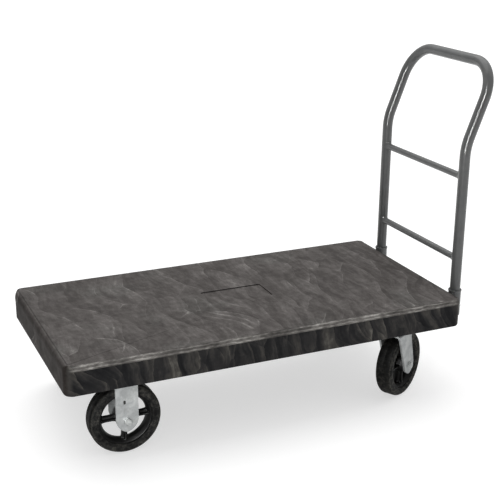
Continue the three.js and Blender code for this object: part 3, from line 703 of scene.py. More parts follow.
# ------------------------------------------------------------------ deck
def build_deck():
    hx, hy = DECK_L / 2, DECK_W / 2

    def arc(cx, cz, r, a0, a1, n):
        return [(cx + r * math.cos(math.radians(a0 + (a1 - a0) * k / n)), cz + r * math.sin(math.radians(a0 + (a1 - a0) * k / n))) for k in range(n + 1)]

    # outer profiles as (offset from the outline, height), top to bottom: long sides have a
    # sloped band over a small step, the ends roll over softly
    side = [(-20.0, DECK_TOP), (-8.4, DECK_TOP), (-7.5, DECK_TOP - 0.2), (-6.6, DECK_TOP - 0.7), (-5.9, DECK_TOP - 1.6),
            (-5.0, DECK_TOP - 3.6), (-3.9, DECK_TOP - 6.3), (-2.6, DECK_TOP - 9.4), (-1.4, DECK_TOP - 12.3), (-0.6, DECK_TOP - 14.4),
            (-0.1, DECK_TOP - 16.0), (0.0, DECK_TOP - 16.8), (-0.25, DECK_TOP - 17.4), (-LIP_OUT, DECK_TOP - 17.8), (-LIP_OUT, DECK_TOP - 19.5)]
    end = [(-40.0, DECK_TOP), (-30.0, DECK_TOP)]
    for k in range(1, 12):
        a = math.radians(90.0 * k / 11)
        end.append((-30.0 + 30.0 * math.sin(a) ** 1.04, DECK_TOP - 23.0 + 23.0 * math.cos(a) ** 0.96 if k < 11 else DECK_TOP - 23.0))
    end += [(-0.35, DECK_TOP - 28.0), (-LIP_OUT, DECK_TOP - 34.0)]
    low = [(-LIP_OUT, z) for z in (268, 256, 244, 233)]
    low += [(-LIP_OUT - 6 + x, z) for x, z in arc(0, SKIRT_Z + 6, 6, 0, -90, 6)]
    low += [(-LIP_OUT - WALL - 1.0, SKIRT_Z)]
    side, end = side + low, end + low

    base = []
    for i, (sx, sy, a0) in enumerate(((1, 1, 0), (-1, 1, 90), (-1, -1, 180), (1, -1, 270))):
        x, y = sx * (hx - CORNER_R), sy * (hy - CORNER_R)
        for k in range(13):
            a = math.radians(a0 + 90.0 * k / 12)
            base.append((x, y, math.cos(a), math.sin(a), CORNER_R))
        x2, y2 = ((-sx * (hx - CORNER_R), y) if i % 2 == 0 else (x, -sy * (hy - CORNER_R)))
        a = math.radians(a0 + 90)
        n = 78 if i % 2 == 0 else 40
        for k in range(1, n):
            base.append((x + (x2 - x) * k / n, y + (y2 - y) * k / n, round(math.cos(a), 9), round(math.sin(a), 9), CORNER_R))
    rings = []
    for (os_, zs), (oe, ze) in zip(side, end):
        ring = []
        for cx, cy, nx, ny, r in base:
            w = abs(ny) ** 1.5
            off, z = oe + (os_ - oe) * w, ze + (zs - ze) * w
            s = 0.0
            if DECK_TOP - LIP_H < z < DECK_TOP - 0.5:      # the rolled edge isn't dead straight
                px, py = cx + nx * r, cy + ny * r
                s = abs(0.5 * noise.noise((px * 0.021, py * 0.021, z * 0.09)) + 0.22 * noise.noise((px * 0.09, py * 0.09, z * 0.2 + 5)))
            rr = max(r + off * 0.72, 2.0)
            shift = off - (rr - r)                         # corners tighten less than the inset
            kx = cx + (math.copysign(shift, cx) if True else 0)
            ky = cy + math.copysign(shift, cy)
            if abs(cx) < hx - r - 1e-6:
                kx = cx
            if abs(cy) < hy - r - 1e-6:
                ky = cy
            ring.append((kx + nx * (rr - s), ky + ny * (rr - s), z))
        rings.append(ring)
    v, f = loft(rings)
    deck = make("deck_shell", v, f, sharp=60)

    ix, iy, ceil_z = hx - LIP_OUT - WALL, hy - LIP_OUT - WALL, DECK_TOP - SKIN

    def pocket(x0, x1, y0, y1, z0, z1, r=5.0, top=4.0, draft=1.0):
        cx, cy, ax, ay = (x0 + x1) / 2, (y0 + y1) / 2, (x1 - x0) / 2, (y1 - y0) / 2
        rg = [[(x, y, z0) for x, y in rrect(ax, ay, r, 4, None, cx, cy)],
              [(x, y, z1 - top) for x, y in rrect(ax - draft, ay - draft, r, 4, None, cx, cy)]]
        for k in range(1, 4):
            a = math.radians(30 * k)
            rg.append([(x, y, z1 - top + top * math.sin(a)) for x, y in
                       rrect(ax - draft - top * (1 - math.cos(a)), ay - draft - top * (1 - math.cos(a)), max(r - top * (1 - math.cos(a)), 1.0), 4, None, cx, cy)])
        return loft(rg)

    cut = []
    v, f = prism(rrect(ix, iy, CORNER_R - LIP_OUT - WALL, 12), SKIRT_Z - 1, RIB_Z)
    cut.append(make("c", v, f))
    boolean(deck, cut.pop(), "DIFFERENCE")
    px, py = (2 * ix + RIB) / CELLS_X, (2 * iy + RIB) / CELLS_Y
    for i in range(CELLS_X):
        for j in range(CELLS_Y):
            x0, y0 = -ix + i * px, -iy + j * py
            v, f = pocket(x0, x0 + px - RIB, y0, y0 + py - RIB, RIB_Z - 1.5, ceil_z)
            cut.append(make("c", v, f))
    v, f = prism(rrect(ix, iy, CORNER_R - LIP_OUT - WALL, 12), SKIRT_Z - 4, ceil_z + 2)
    boolean(deck, boolean(join(cut, "cut"), make("in", v, f), "INTERSECT"), "DIFFERENCE")

    seats = []
    for k, (sx, sy, swivel, side) in SITES.items():
        x = sx - DECK_X
        y0, y1 = max(sy - 54, -iy), min(sy + 54, iy)
        v, f = pocket(x - 64, x + 64, y0, y1, SKIRT_Z - 1, PLATE_Z + 0.3, r=8, top=1.5, draft=0.3)
        seats.append(make("c", v, f))
    boolean(deck, join(seats, "cut"), "DIFFERENCE")

    bosses, holes = [], []
    for k, (sx, sy, swivel, side) in SITES.items():
        for a, b in CORNERS:
            m = T(sx - DECK_X + a * BOLT[0], sy + b * BOLT[1])
            v, f = lathe([(0, PLATE_Z + 0.3), (9.6, PLATE_Z + 0.3), (10.4, PLATE_Z + 1.1), (10.6, ceil_z - 6), (11.4, ceil_z - 2.5), (13.4, ceil_z + 1), (0, ceil_z + 1)], 24, closed=False)
            bosses.append(make("b", v, f, matrix=m))
            v, f = lathe([(0, PLATE_Z - 2), (5.2, PLATE_Z - 2), (5.2, PLATE_Z + 0.6), (4.4, PLATE_Z + 1.4), (4.4, PLATE_Z + 41), (0, PLATE_Z + 43)], 20, closed=False)
            holes.append(make("h", v, f, matrix=m))
    for s in (-1, 1):
        for t in (-1, 1):
            m = T(0, s * POST_Y + t * 34, PIN_Z - 6) @ ALONG_X
            v, f = cyl(10, ix - 28, ix + 1, 24)
            bosses.append(make("b", v, f, matrix=m))
            v, f = cyl(4.6, ix - 22, hx + 4, 20)
            holes.append(make("h", v, f, matrix=m))
    boolean(deck, join(bosses, "b"), "UNION")
    boolean(deck, join(holes, "h"), "DIFFERENCE")

    # blank panel in the load surface, with drafted walls
    o1 = rrect(PANEL_HX, PANEL_HY, 3.0, 5)
    o0 = rrect(PANEL_HX - 0.5, PANEL_HY - 0.5, 2.6, 5)
    v, f = loft([[(x, y, DECK_TOP - PANEL_D) for x, y in o0], [(x, y, DECK_TOP + 0.5) for x, y in o1]])
    boolean(deck, make("p", v, f), "DIFFERENCE")

    deck.data.transform(T(DECK_X))
    tidy(deck, 35)
    # band attribute: the sloped face of the rolled edge
    me = deck.data
    finish_mat(deck, M_DECK)
    at = me.attributes.new("band", "FLOAT", "POINT")
    vals = np.zeros(len(me.vertices), np.float32)
    for i, vt in enumerate(me.vertices):
        x, y, z = vt.co.x / MM - DECK_X, vt.co.y / MM, vt.co.z / MM
        if DECK_TOP - 17.5 < z <= DECK_TOP - 0.1 and hy - abs(y) < 8.6:
            fade = min(max((hx - 10 - abs(x)) / 26.0, 0.0), 1.0)
            vals[i] = fade
    at.data.foreach_set("value", vals)
    weighted(deck, 35)
    return put(deck, "frame", "deck")


build_deck()


# ------------------------------------------------------------------ handle
def handle_stations(extra=0.0, n1=14, n2=30):
    half = []
    t = BEND_R * math.tan(LEAN / 2)
    z = TUBE_FOOT - extra
    half.append(((POST_X, -POST_Y, z), (0, 0, 1)))
    for k in range(1, 13):
        half.append(((POST_X, -POST_Y, z + (BEND_Z - t - z) * k / 12), (0, 0, 1)))
    for i in range(1, n1 + 1):
        a = LEAN * i / n1
        half.append(((POST_X + BEND_R * (1 - math.cos(a)), -POST_Y, BEND_Z - t + BEND_R * math.sin(a)), (math.sin(a), 0, math.cos(a))))
    last = Vector(half[-1][0])
    d = Vector((math.sin(LEAN), 0, math.cos(LEAN)))
    run = (TOP_Z - last.z) / math.cos(LEAN) - CORNER_BEND_R
    for k in range(1, 4):
        half.append((tuple(last + d * run * k / 4), tuple(d)))
    c0 = last + d * run
    for i in range(n2 + 1):
        a = math.pi / 2 * i / n2
        p = c0 + d * CORNER_BEND_R * math.sin(a) + Vector((0, CORNER_BEND_R * (1 - math.cos(a)), 0))
        half.append((tuple(p), tuple(d * math.cos(a) + Vector((0, math.sin(a), 0)))))
    other = [((p[0], -p[1], p[2]), (-q[0], q[1], -q[2])) for p, q in reversed(half)]
    yl = half[-1][0][1]
    mid = [((half[-1][0][0], yl * (1 - 2 * k / 6), half[-1][0][2]), (0, 1, 0)) for k in range(1, 6)]
    return half + mid + other


def weld_ring(rb, rp, y_post, sgn, z, reach=11.0, foot=15.2, seg=96):
    """hollow-sided fillet where a bar of radius rb meets a post of radius rp, rippled along its length"""
    rings = []
    for j in range(seg):
        a = 2 * math.pi * j / seg
        ca, sa = math.cos(a), math.sin(a)
        rip = 1.0 + 0.05 * math.sin(j * 2 * math.pi / seg * 20) + 0.22 * noise.noise((ca * 2.1 + y_post, sa * 2.1, z * 0.01))
        L, F = reach * rip, rb + (foot - rb) * rip
        F = min(F, rp - 0.6)
        y1 = math.sqrt(rp * rp - (rb * ca) ** 2)
        y2 = math.sqrt(rp * rp - (F * ca) ** 2)
        p0 = Vector((rb * ca, y1 + L, rb * sa))
        p1 = Vector((rb * ca * 1.04, y1 + 0.6, rb * sa * 1.04))
        p2 = Vector((F * ca, y2 - 0.1, F * sa))
        ring = []
        n = 7
        for k in range(n + 1):
            t = k / n
            c = p0 * (1 - t) ** 2 + p1 * 2 * t * (1 - t) + p2 * t * t
            lift = 0.28 * math.sin(math.pi * t) * math.sin(j * 2 * math.pi / seg * 20)
            d = Vector((ca, 0.6, sa)).normalized()
            ring.append(c + d * lift)
        ring.append(Vector((rb * 0.9 * ca, y1 - 1.0, rb * 0.9 * sa)))
        ring.append(Vector((rb * 0.93 * ca, y1 + L * 0.9, rb * 0.93 * sa)))
        rings.append([(POST_X + q.x, y_post - sgn * q.y, z + q.z) for q in ring])
    return loft(rings, closed=True)


def build_handle():
    # tube: the outer wall with the inner bore taken out, open at both feet
    st = handle_stations()
    v, f = tube_along(st, TUBE_R, 40)
    tube = make("tube", v, f, sharp=50)
    v, f = tube_along(handle_stations(6.0), TUBE_R - TUBE_WALL, 28)
    boolean(tube, make("in", v, f), "DIFFERENCE")
    hs = []
    for s in (-1, 1):
        v, f = cyl(4.4, -30, 30, 24)
        hs.append(make("h", v, f, matrix=T(POST_X, s * POST_Y, PIN_Z) @ ALONG_Y))
    boolean(tube, join(hs, "h"), "DIFFERENCE")
    tube.name = tube.data.name = "handle_tube_bent"
    tidy(tube, 40)
    finish_mat(tube, M_PAINT)
    put(tube, "frame", "handle_tube")

    for z, node, nm in ((RUNG_Z[0], "lower_crossbar", "crossbar_lower"), (RUNG_Z[1], "upper_crossbar", "crossbar_upper")):
        st = []
        n = 24
        L = POST_Y - 6.0
        for k in range(n + 1):
            st.append(((POST_X, -L + 2 * L * k / n, z), (0, 1, 0)))
        v, f = tube_along(st, RUNG_R, 32)
        bar = make(nm, v, f, sharp=50)
        cuts = []
        for s in (-1, 1):
            v, f = cyl(TUBE_R + 0.15, z - 30, z + 30, 64)
            cuts.append(make("c", v, f, matrix=T(POST_X, s * POST_Y)))
        boolean(bar, join(cuts, "c"), "DIFFERENCE")
        # the cut leaves slivers beyond the posts' far side only if the bar were longer; keep the middle
        beads = []
        for s in (-1, 1):
            v, f = weld_ring(RUNG_R, TUBE_R, s * POST_Y, s, z)
            beads.append(make("w", v, f, sharp=70))
        w = join(beads, nm + "_welds")
        tidy(w, 60)
        finish_mat(w, M_PAINT)
        put(w, "frame", ())
        tidy(bar, 40)
        finish_mat(bar, M_PAINT)
        put(bar, "frame", node)


build_handle()


def build_sockets():
    face = DECK_X + DECK_L / 2 - LIP_OUT
    for s, tag in ((-1, "left"), (1, "right")):
        y = s * POST_Y
        m = T(POST_X, y)
        # sleeve with a rolled rim
        ri = SLEEVE_R - 2.7
        prof = [(ri + 0.3, SLEEVE_FOOT), (SLEEVE_R - 0.7, SLEEVE_FOOT), (SLEEVE_R, SLEEVE_FOOT + 0.7), (SLEEVE_R, SLEEVE_TOP - 7.4),
                (SLEEVE_R + 0.25, SLEEVE_TOP - 6.6), (SLEEVE_R + 0.85, SLEEVE_TOP - 5.6), (SLEEVE_R + 1.0, SLEEVE_TOP - 4.0), (SLEEVE_R + 1.0, SLEEVE_TOP - 1.6),
                (SLEEVE_R + 0.6, SLEEVE_TOP - 0.5), (SLEEVE_R - 0.3, SLEEVE_TOP), (ri + 0.9, SLEEVE_TOP - 0.1), (ri + 0.2, SLEEVE_TOP - 0.8), (ri, SLEEVE_TOP - 2.0), (ri, SLEEVE_FOOT + 0.5)]
        v, f = lathe(prof, 56)
        sleeve = make("sleeve", v, f, matrix=m)
        # flange plate with rounded corners
        x0 = face + 0.3
        z0, z1 = SLEEVE_FOOT + 2, DECK_TOP - LIP_H - 1.5
        v, f = prism(rrect(46, (z1 - z0) / 2, 8, 6), 0, 6)
        plate = make("plate", v, f, matrix=T(x0, y, (z0 + z1) / 2) @ Matrix(((0, 0, 1, 0), (1, 0, 0, 0), (0, 1, 0, 0), (0, 0, 0, 1))))
        bevel(plate, 0.7, 2)
        v, f = prism(rrect((POST_X - 8 - (face + 3.3)) / 2, 13, 1.0, 2), z0 + 0.5, z1 - 0.5)
        block = make("block", v, f, matrix=T((POST_X - 8 + face + 3.3) / 2, y))
        v, f = cyl(ri + 1.2, SLEEVE_FOOT - 5, SLEEVE_TOP + 5, 48)
        boolean(block, make("c", v, f, matrix=m), "DIFFERENCE")
        boolean(plate, block, "UNION")
        boolean(plate, sleeve, "UNION")
        cuts = []
        v, f = cyl(4.4, -40, 40, 24)
        cuts.append(make("c", v, f, matrix=T(POST_X, y, PIN_Z) @ ALONG_Y))
        for t in (-1, 1):
            v, f = cyl(4.6, face - 5, face + 12, 24)
            cuts.append(make("c", v, f, matrix=T(0, y + t * 34, PIN_Z - 6) @ ALONG_X))
        boolean(plate, join(cuts, "c"), "DIFFERENCE")
        # weld lines between the sleeve and the block
        beads = []
        for t in (-1, 1):
            st, rad = [], []
            n = 36
            for k in range(n + 1):
                z = z0 + 3 + (z1 - z0 - 6) * k / n
                yy = y + t * 13.2
                xx = POST_X - math.sqrt(SLEEVE_R ** 2 - 13.2 ** 2) - 0.3
                st.append(((xx + 0.25 * noise.noise((z * 0.3, yy, 1)), yy + 0.25 * noise.noise((z * 0.3, yy, 7)), z), (0, 0, 1)))
                rad.append(2.0 * (1 + 0.14 * math.sin(k * 2.1)) * (0.4 if k in (0, n) else 1))
            v, f = tube_along(st, rad, 10)
            beads.append(make("w", v, f, sharp=70))
        w = join(beads, f"socket_welds_{tag}")
        tidy(w, 60)
        finish_mat(w, M_PAINT)
        put(w, "frame", ())
        plate.name = plate.data.name = f"socket_bracket_{tag}"
        finish_mat(plate, M_PAINT)
        weighted(plate, 35)
        put(plate, "frame", f"handle_socket_{tag}")


build_sockets()


# ------------------------------------------------------------------ fasteners
def hexhead(af, z0, z1, washer=0.0, dome=0.0, both=False):
    """hexagon with its corners turned off on the outer end (z1); the washer argument is not used"""
    rc = af / 2 / math.cos(math.pi / 6)
    seg = 48
    v, f = prism([(rc * math.cos(math.pi / 3 * i + math.pi / 6), rc * math.sin(math.pi / 3 * i + math.pi / 6)) for i in range(6)], z0, z1)
    h = make("hex", v, f)
    ch = (rc - af / 2) * 0.95
    prof = [(0, z0 - 0.01), (rc + 0.2 - (ch if both else 0), z0 - 0.01)]
    if both:
        prof.append((rc + 0.2, z0 + ch * 0.62))
    prof += [(rc + 0.2, z1 - ch * 0.62), (rc - ch, z1 + 0.01), (0, z1 + 0.01)]
    v, f = lathe(prof, seg, closed=False)
    boolean(h, make("cone", v, f), "INTERSECT")
    return h


def thread(r, z0, z1, seg=20, pitch=1.25, depth=0.35):
    """a threaded shank: a helical groove rolled into a bar"""
    n = max(int((z1 - z0) / pitch * 8), 8)
    rings = []
    for k in range(n + 1):
        z = z0 + (z1 - z0) * k / n
        ring = []
        for j in range(seg):
            a = 2 * math.pi * j / seg
            ph = (z / pitch - a / (2 * math.pi)) % 1.0
            d = depth * (1 - abs(2 * ph - 1) * 1.0)
            end = min(1.0, (z1 - z) / 1.0 + 0.0) if z > z1 - 1.0 else 1.0
            rr = (r - d) * (0.86 + 0.14 * end)
            ring.append((rr * math.cos(a), rr * math.sin(a), z))
        rings.append(ring)
    return loft(rings)


_cache = {}


def shared(key, builder):
    if key not in _cache:
        ob = builder()
        _cache[key] = ob.data.copy()
        bpy.data.objects.remove(ob)
    return _cache[key]


def place_copy(key, builder, name, matrix, mat, body, node):
    me = shared(key, builder).copy()
    me.name = name
    me.transform(matrix)
    ob = bpy.data.objects.new(name, me)
    SC.collection.objects.link(ob)
    finish_mat(ob, mat)
    return put(ob, body, node)


def caster_screw():
    h = hexhead(13, 0.0, 5.3)
    v, f = lathe([(0, 5.0), (8.6, 5.0), (8.9, 5.3), (8.9, 6.1), (8.6, 6.35), (0, 6.35)], 40, closed=False)
    boolean(h, make("w", v, f), "UNION")
    h.data.transform(Matrix.Identity(4))
    v, f = thread(4.0, 6.0, 41.0, 16)
    boolean(h, make("t", v, f), "UNION")
    weighted(h, 35)
    return h


def side_screw(length):
    def b():
        h = hexhead(13, 0.0, 5.3)
        v, f = lathe([(0, -0.3), (8.4, -0.3), (8.7, 0.0), (8.7, 0.9), (8.4, 1.2), (0, 1.2)], 40, closed=False)
        boolean(h, make("w", v, f), "UNION")
        v, f = thread(4.0, -length, 0.5, 16)
        boolean(h, make("t", v, f), "UNION")
        weighted(h, 35)
        return h
    return b


def nut8():
    h = hexhead(13, -6.5, 0.0, both=True)
    v, f = cyl(4.4, -8, 1, 24)
    boolean(h, make("c", v, f), "DIFFERENCE")
    weighted(h, 35)
    return h


def build_fasteners():
    face = DECK_X + DECK_L / 2 - LIP_OUT
    for s, tag in ((-1, "left"), (1, "right")):
        y = s * POST_Y
        out = T(POST_X, y, PIN_Z) @ (ALONG_Y if s > 0 else R("X", math.pi / 2))
        # cross bolt: head outside, nut inside
        place_copy("cross", side_screw(SLEEVE_R * 2 + 10), f"cross_bolt_{tag}", out @ T(0, 0, SLEEVE_R + 0.6), M_FAST, "frame", f"socket_bolt_{tag}")
        place_copy("nut8", nut8, f"cross_nut_{tag}", out @ T(0, 0, -SLEEVE_R - 0.3), M_FAST, "frame", f"socket_nut_{tag}")
        for e, t in (("a", -1), ("b", 1)):
            place_copy("bracket", side_screw(31.0), f"bracket_bolt_{tag}_{e}", T(face + 6.6, y + t * 34, PIN_Z - 6) @ ALONG_X, M_FAST, "frame", f"bracket_screw_{tag}_{e}")
    for k, (sx, sy, swivel, side) in SITES.items():
        for i, (a, b) in enumerate(CORNERS):
            z = PLATE_Z - PLATE_T - 0.3 - 5.3 - 1.1
            place_copy("caster", caster_screw, f"plate_screw_{k}_{i + 1}", T(sx + a * BOLT[0], sy + b * BOLT[1], z), M_FAST, "frame", f"caster_screw_{k}_{i + 1}")


build_fasteners()


# ------------------------------------------------------------------ casters
def leg_outline(trail, top_z, top_half, lean, half_top, half_low):
    """side view of a leg: sides taper to the axle, then clipped corners run to a rounded tip"""
    z1 = top_z - 24 if lean else top_z
    z2 = WHEEL_R + 5
    cx = lambda z: trail - lean * (z - WHEEL_R)

    def half(z):
        t = min(max((z1 - z) / (z1 - z2), 0.0), 1.0)
        return half_top + (half_low - half_top) * t

    left = [(-top_half, top_z)]
    if lean:
        for k in range(0, 9):       # flare under the web blends into the leg
            t = k / 8
            z = (top_z - 5) + t * (-19)
            x0, x1 = -top_half, cx(top_z - 24) - half(z1)
            left.append((x0 + (x1 - x0) * (t * t * (3 - 2 * t)), z))
    for k in range(1, 7):
        z = z1 + (z2 - z1) * k / 6
        left.append((cx(z) - half(z), z))
    right = [(-(x - 0.0) if not lean else None, z) for x, z in left] if not lean else []
    if lean:
        right = [(top_half, top_z)]
        for k in range(0, 9):
            t = k / 8
            z = (top_z - 5) + t * (-19)
            x0, x1 = top_half, cx(top_z - 24) + half(z1)
            right.append((x0 + (x1 - x0) * (t * t * (3 - 2 * t)), z))
        for k in range(1, 7):
            z = z1 + (z2 - z1) * k / 6
            right.append((cx(z) + half(z), z))
    # tip: a superellipse between a clipped corner and an arc
    tip = []
    depth = half_low - 0.5 + 5
    n = 28
    for i in range(1, n):
        a = math.pi + math.pi * i / n
        c, d = math.cos(a), math.sin(a)
        e = 2.0 / 1.72
        ux = math.copysign(abs(c) ** e, c)
        uz = math.copysign(abs(d) ** e, d)
        tip.append((trail + half_low * ux + (0 if not lean else -lean * 5 * (1 + uz)), z2 + depth * uz))
    return left + tip + right[::-1]


def u_section(top_z, bottom_z, r_out=9.0):
    """inverted U of sheet LEG_T thick in (y, z): outer faces at +-(LEG_IN + LEG_T)"""
    yo, t = LEG_IN + LEG_T, LEG_T
    ri = max(r_out - t, 2.0)
    pts = [(-yo, bottom_z)]
    for k in range(9):
        a = math.radians(180 - 90 * k / 8)
        pts.append((-yo + r_out + r_out * math.cos(a), top_z - r_out + r_out * math.sin(a)))
    for k in range(9):
        a = math.radians(90 - 90 * k / 8)
        pts.append((yo - r_out + r_out * math.cos(a), top_z - r_out + r_out * math.sin(a)))
    pts.append((yo, bottom_z))
    pts.append((yo - t, bottom_z))
    for k in range(7):
        a = math.radians(90 * k / 6)
        pts.append((yo - t - ri + ri * math.cos(a), top_z - t - ri + ri * math.sin(a)))
    for k in range(7):
        a = math.radians(90 + 90 * k / 6)
        pts.append((-yo + t + ri + ri * math.cos(a), top_z - t - ri + ri * math.sin(a)))
    pts.append((-yo + t, bottom_z))
    return pts


def fork_channel(top_z, outline, x_half):
    u = u_section(top_z, WHEEL_R - 40)
    v, f = loft([[(-x_half, y, z) for y, z in u], [(x_half, y, z) for y, z in u]])
    ch = make("u", v, f)
    v, f = loft([[(x, -60, z) for x, z in outline], [(x, 60, z) for x, z in outline]])
    boolean(ch, make("o", v, f), "INTERSECT")
    return ch


def build_forks():
    for k, (sx, sy, swivel, side) in SITES.items():
        site = T(sx, sy)
        fr = site @ R("Z", YAW[k])
        trail = TRAIL if swivel else 0.0
        # mounting plate with slotted holes
        v, f = prism(rrect(52.5, 40, 7, 8), PLATE_Z - PLATE_T, PLATE_Z)
        plate = make("plate", v, f)
        bevel(plate, 0.8, 3)
        cuts = []
        for a, b in CORNERS:
            o = rrect(7.2, 4.7, 4.69, 8, None, a * BOLT[0], b * BOLT[1])
            v, f = prism(o, PLATE_Z - 12, PLATE_Z + 6)
            cuts.append(make("c", v, f))
        boolean(plate, join(cuts, "c"), "DIFFERENCE")
        axle = T(trail, 0, WHEEL_R) @ ALONG_Y
        v, f = cyl(6.5, -60, 60, 40)
        axle_hole = make("ah", v, f, matrix=axle)
        if swivel:
            top = 218.5
            ch = fork_channel(top, leg_outline(trail, top - 0.0, 40, 0.32, 34.5, 29.0), 80)
            bevel(ch, 0.6, 2, 40)
            v, f = lathe([(20, top - 1.5), (40.3, top - 1.5), (39.3, top + 0.4), (38.5, top + 1.6), (38.5, 222.4), (37.9, 223.0), (37.0, 223.0), (36.2, 222.2), (34.6, 221.6),
                          (33.0, 222.2), (32.2, 223.0), (21.0, 223.0), (20, 222.2)], 72)
            boolean(ch, make("race", v, f), "UNION")
            v, f = cyl(6.6, 200, 240, 40)
            boolean(ch, make("kh", v, f), "DIFFERENCE")
            boolean(ch, axle_hole, "DIFFERENCE")
            ch.name = ch.data.name = f"swivel_yoke_{k}"
            ch.data.transform(fr)
            finish_mat(ch, M_ZINC)
            weighted(ch, 35)
            put(ch, FORK_BODY[k], f"swivel_fork_{k}")

            v, f = lathe([(0, 229.4), (24, 229.4), (28, 230.0), (30, 231.2), (31.4, 231.9), (34.6, 232.4), (37.8, 231.9), (39.6, 231.2), (40.4, 230.0), (40.6, 228.0), (40.6, 225.2), (41.2, 224.5),
                          (42.4, 224.5), (43, 225.1), (43, 231.5), (42.6, 233.4), (43.6, 235.0), (43.6, 236.5), (0, 236.5)], 72, closed=False)
            boolean(plate, make("dome", v, f), "UNION")
            v, f = cyl(6.6, 220, 245, 40)
            boolean(plate, make("kh", v, f), "DIFFERENCE")
            v, f = cyl(11.6, PLATE_Z - 5.5, PLATE_Z + 1, 48)
            boolean(plate, make("cb", v, f), "DIFFERENCE")
            plate.name = plate.data.name = f"top_plate_{k}"
            plate.data.transform(site)
            finish_mat(plate, M_ZINC)
            weighted(plate, 35)
            put(plate, "frame", f"swivel_plate_{k}")

            # kingpin with its clamped nut
            pin = hexhead(19, 204.9, 212.2, both=True)
            pin.data.transform(R("X", 0))
            v, f = lathe([(0, 203.9), (4.6, 203.9), (5.8, 204.9), (6.0, 206), (6.0, 235.9), (10.4, 235.9), (11.0, 236.5), (11.0, 239.9), (10.4, 240.6), (0, 240.6)], 48, closed=False)
            boolean(pin, make("s", v, f), "UNION")
            pin.name = pin.data.name = f"king_bolt_{k}"
            pin.data.transform(site)
            finish_mat(pin, M_FAST)
            weighted(pin, 35)
            put(pin, "frame", f"kingpin_{k}")

            # the balls, in a thin cage
            cage_v, cage_f = lathe([(33.6, 226.6), (35.6, 226.6), (35.6, 227.6), (33.6, 227.6)], 72)
            parts = [make("cage", cage_v, cage_f)]
            for j in range(20):
                a = 2 * math.pi * j / 20
                bm = bmesh.new()
                bmesh.ops.create_icosphere(bm, subdivisions=2, radius=3.8 * MM)
                me = bpy.data.meshes.new("ball")
                bm.to_mesh(me)
                bm.free()
                me.transform(T(34.6 * math.cos(a), 34.6 * math.sin(a), 227.1))
                o = bpy.data.objects.new("ball", me)
                SC.collection.objects.link(o)
                parts.append(o)
            balls = join(parts, f"ball_ring_{k}")
            balls.data.transform(site)
            tidy(balls, 50)
            finish_mat(balls, M_FAST)
            put(balls, "frame", f"ball_race_{k}")
        else:
            top = PLATE_Z - PLATE_T + 0.5
            ch = fork_channel(top, leg_outline(0.0, top + 1, 32, 0.0, 32, 31.8), 60)
            bevel(ch, 0.6, 2, 40)
            boolean(plate, ch, "UNION")
            boolean(plate, axle_hole, "DIFFERENCE")
            plate.name = plate.data.name = f"rigid_yoke_{k}"
            # a small pressed dimple in each leg, its vertices flagged below so the zinc material paints them dark as
            # painted shade
            dm = []
            for sg in (-1, 1):
                o = rrect(3.1, 5.6, 3.0, 6)
                v, f = loft([[(x * 0.45, y * 0.7, -2.9) for x, y in o], [(x * 0.85, y * 0.92, -2.6) for x, y in o],
                             [(x, y, -0.6) for x, y in o], [(x * 1.12, y * 1.08, 0.6) for x, y in o]])
                dm.append(make("d", v, f, matrix=T(-7, sg * (LEG_IN + LEG_T), WHEEL_R + 58) @ (ALONG_Y if sg > 0 else R("X", math.pi / 2))))
            boolean(plate, join(dm, "d"), "DIFFERENCE")
            mk = plate.data.attributes.new("dimple_painted_shade", "FLOAT", "POINT")
            mk.data.foreach_set("value", np.array([1.0 if (abs(p.co.x / MM + 7) < 5 and abs(p.co.z / MM - WHEEL_R - 58) < 8
                                                           and 0.3 < LEG_IN + LEG_T - abs(p.co.y / MM) < 3.6) else 0.0
                                                   for p in plate.data.vertices], np.float32))
            plate.data.transform(site)
            finish_mat(plate, M_ZINC)
            weighted(plate, 35)
            put(plate, "frame", f"rigid_fork_{k}")


build_forks()


# ------------------------------------------------------------------ wheels
def tyre_mesh():
    w = TYRE_W / 2
    half = [(75.8, w - 3.0), (76.6, w - 2.0), (79.0, w - 1.3), (81.0, w - 0.9), (81.6, w - 1.5), (82.6, w - 1.5), (83.2, w - 0.6),
            (86.0, w - 0.15), (88.5, w), (91.5, w - 0.15), (93.6, w - 0.5), (94.2, w - 1.3), (95.0, w - 1.5), (95.8, w - 1.8),
            (97.4, w - 3.4), (99.0, w - 5.2), (100.2, w - 7.0), (101.0, w - 8.8), (101.45, w - 10.9), (101.6, w - 13.5), (101.6, 0.6), (101.35, 0.0)]
    prof = half + [(r, -z) for r, z in reversed(half[:-1])]
    v, f = lathe(prof, 160)
    t = make("tyre", v, f, sharp=50)
    at = t.data.attributes.new("tread", "FLOAT", "POINT")
    vals = np.array([min(max((math.hypot(p.co.x, p.co.y) / MM - 96.0) / 4.5, 0.0), 1.0) for p in t.data.vertices], np.float32)
    at.data.foreach_set("value", vals)
    sh = t.data.attributes.new("shoulder", "FLOAT", "POINT")
    vals = np.array([max(1.0 - abs(math.hypot(p.co.x, p.co.y) / MM - 97.6) / 2.6, 0.0) for p in t.data.vertices], np.float32)
    sh.data.foreach_set("value", vals)
    return t


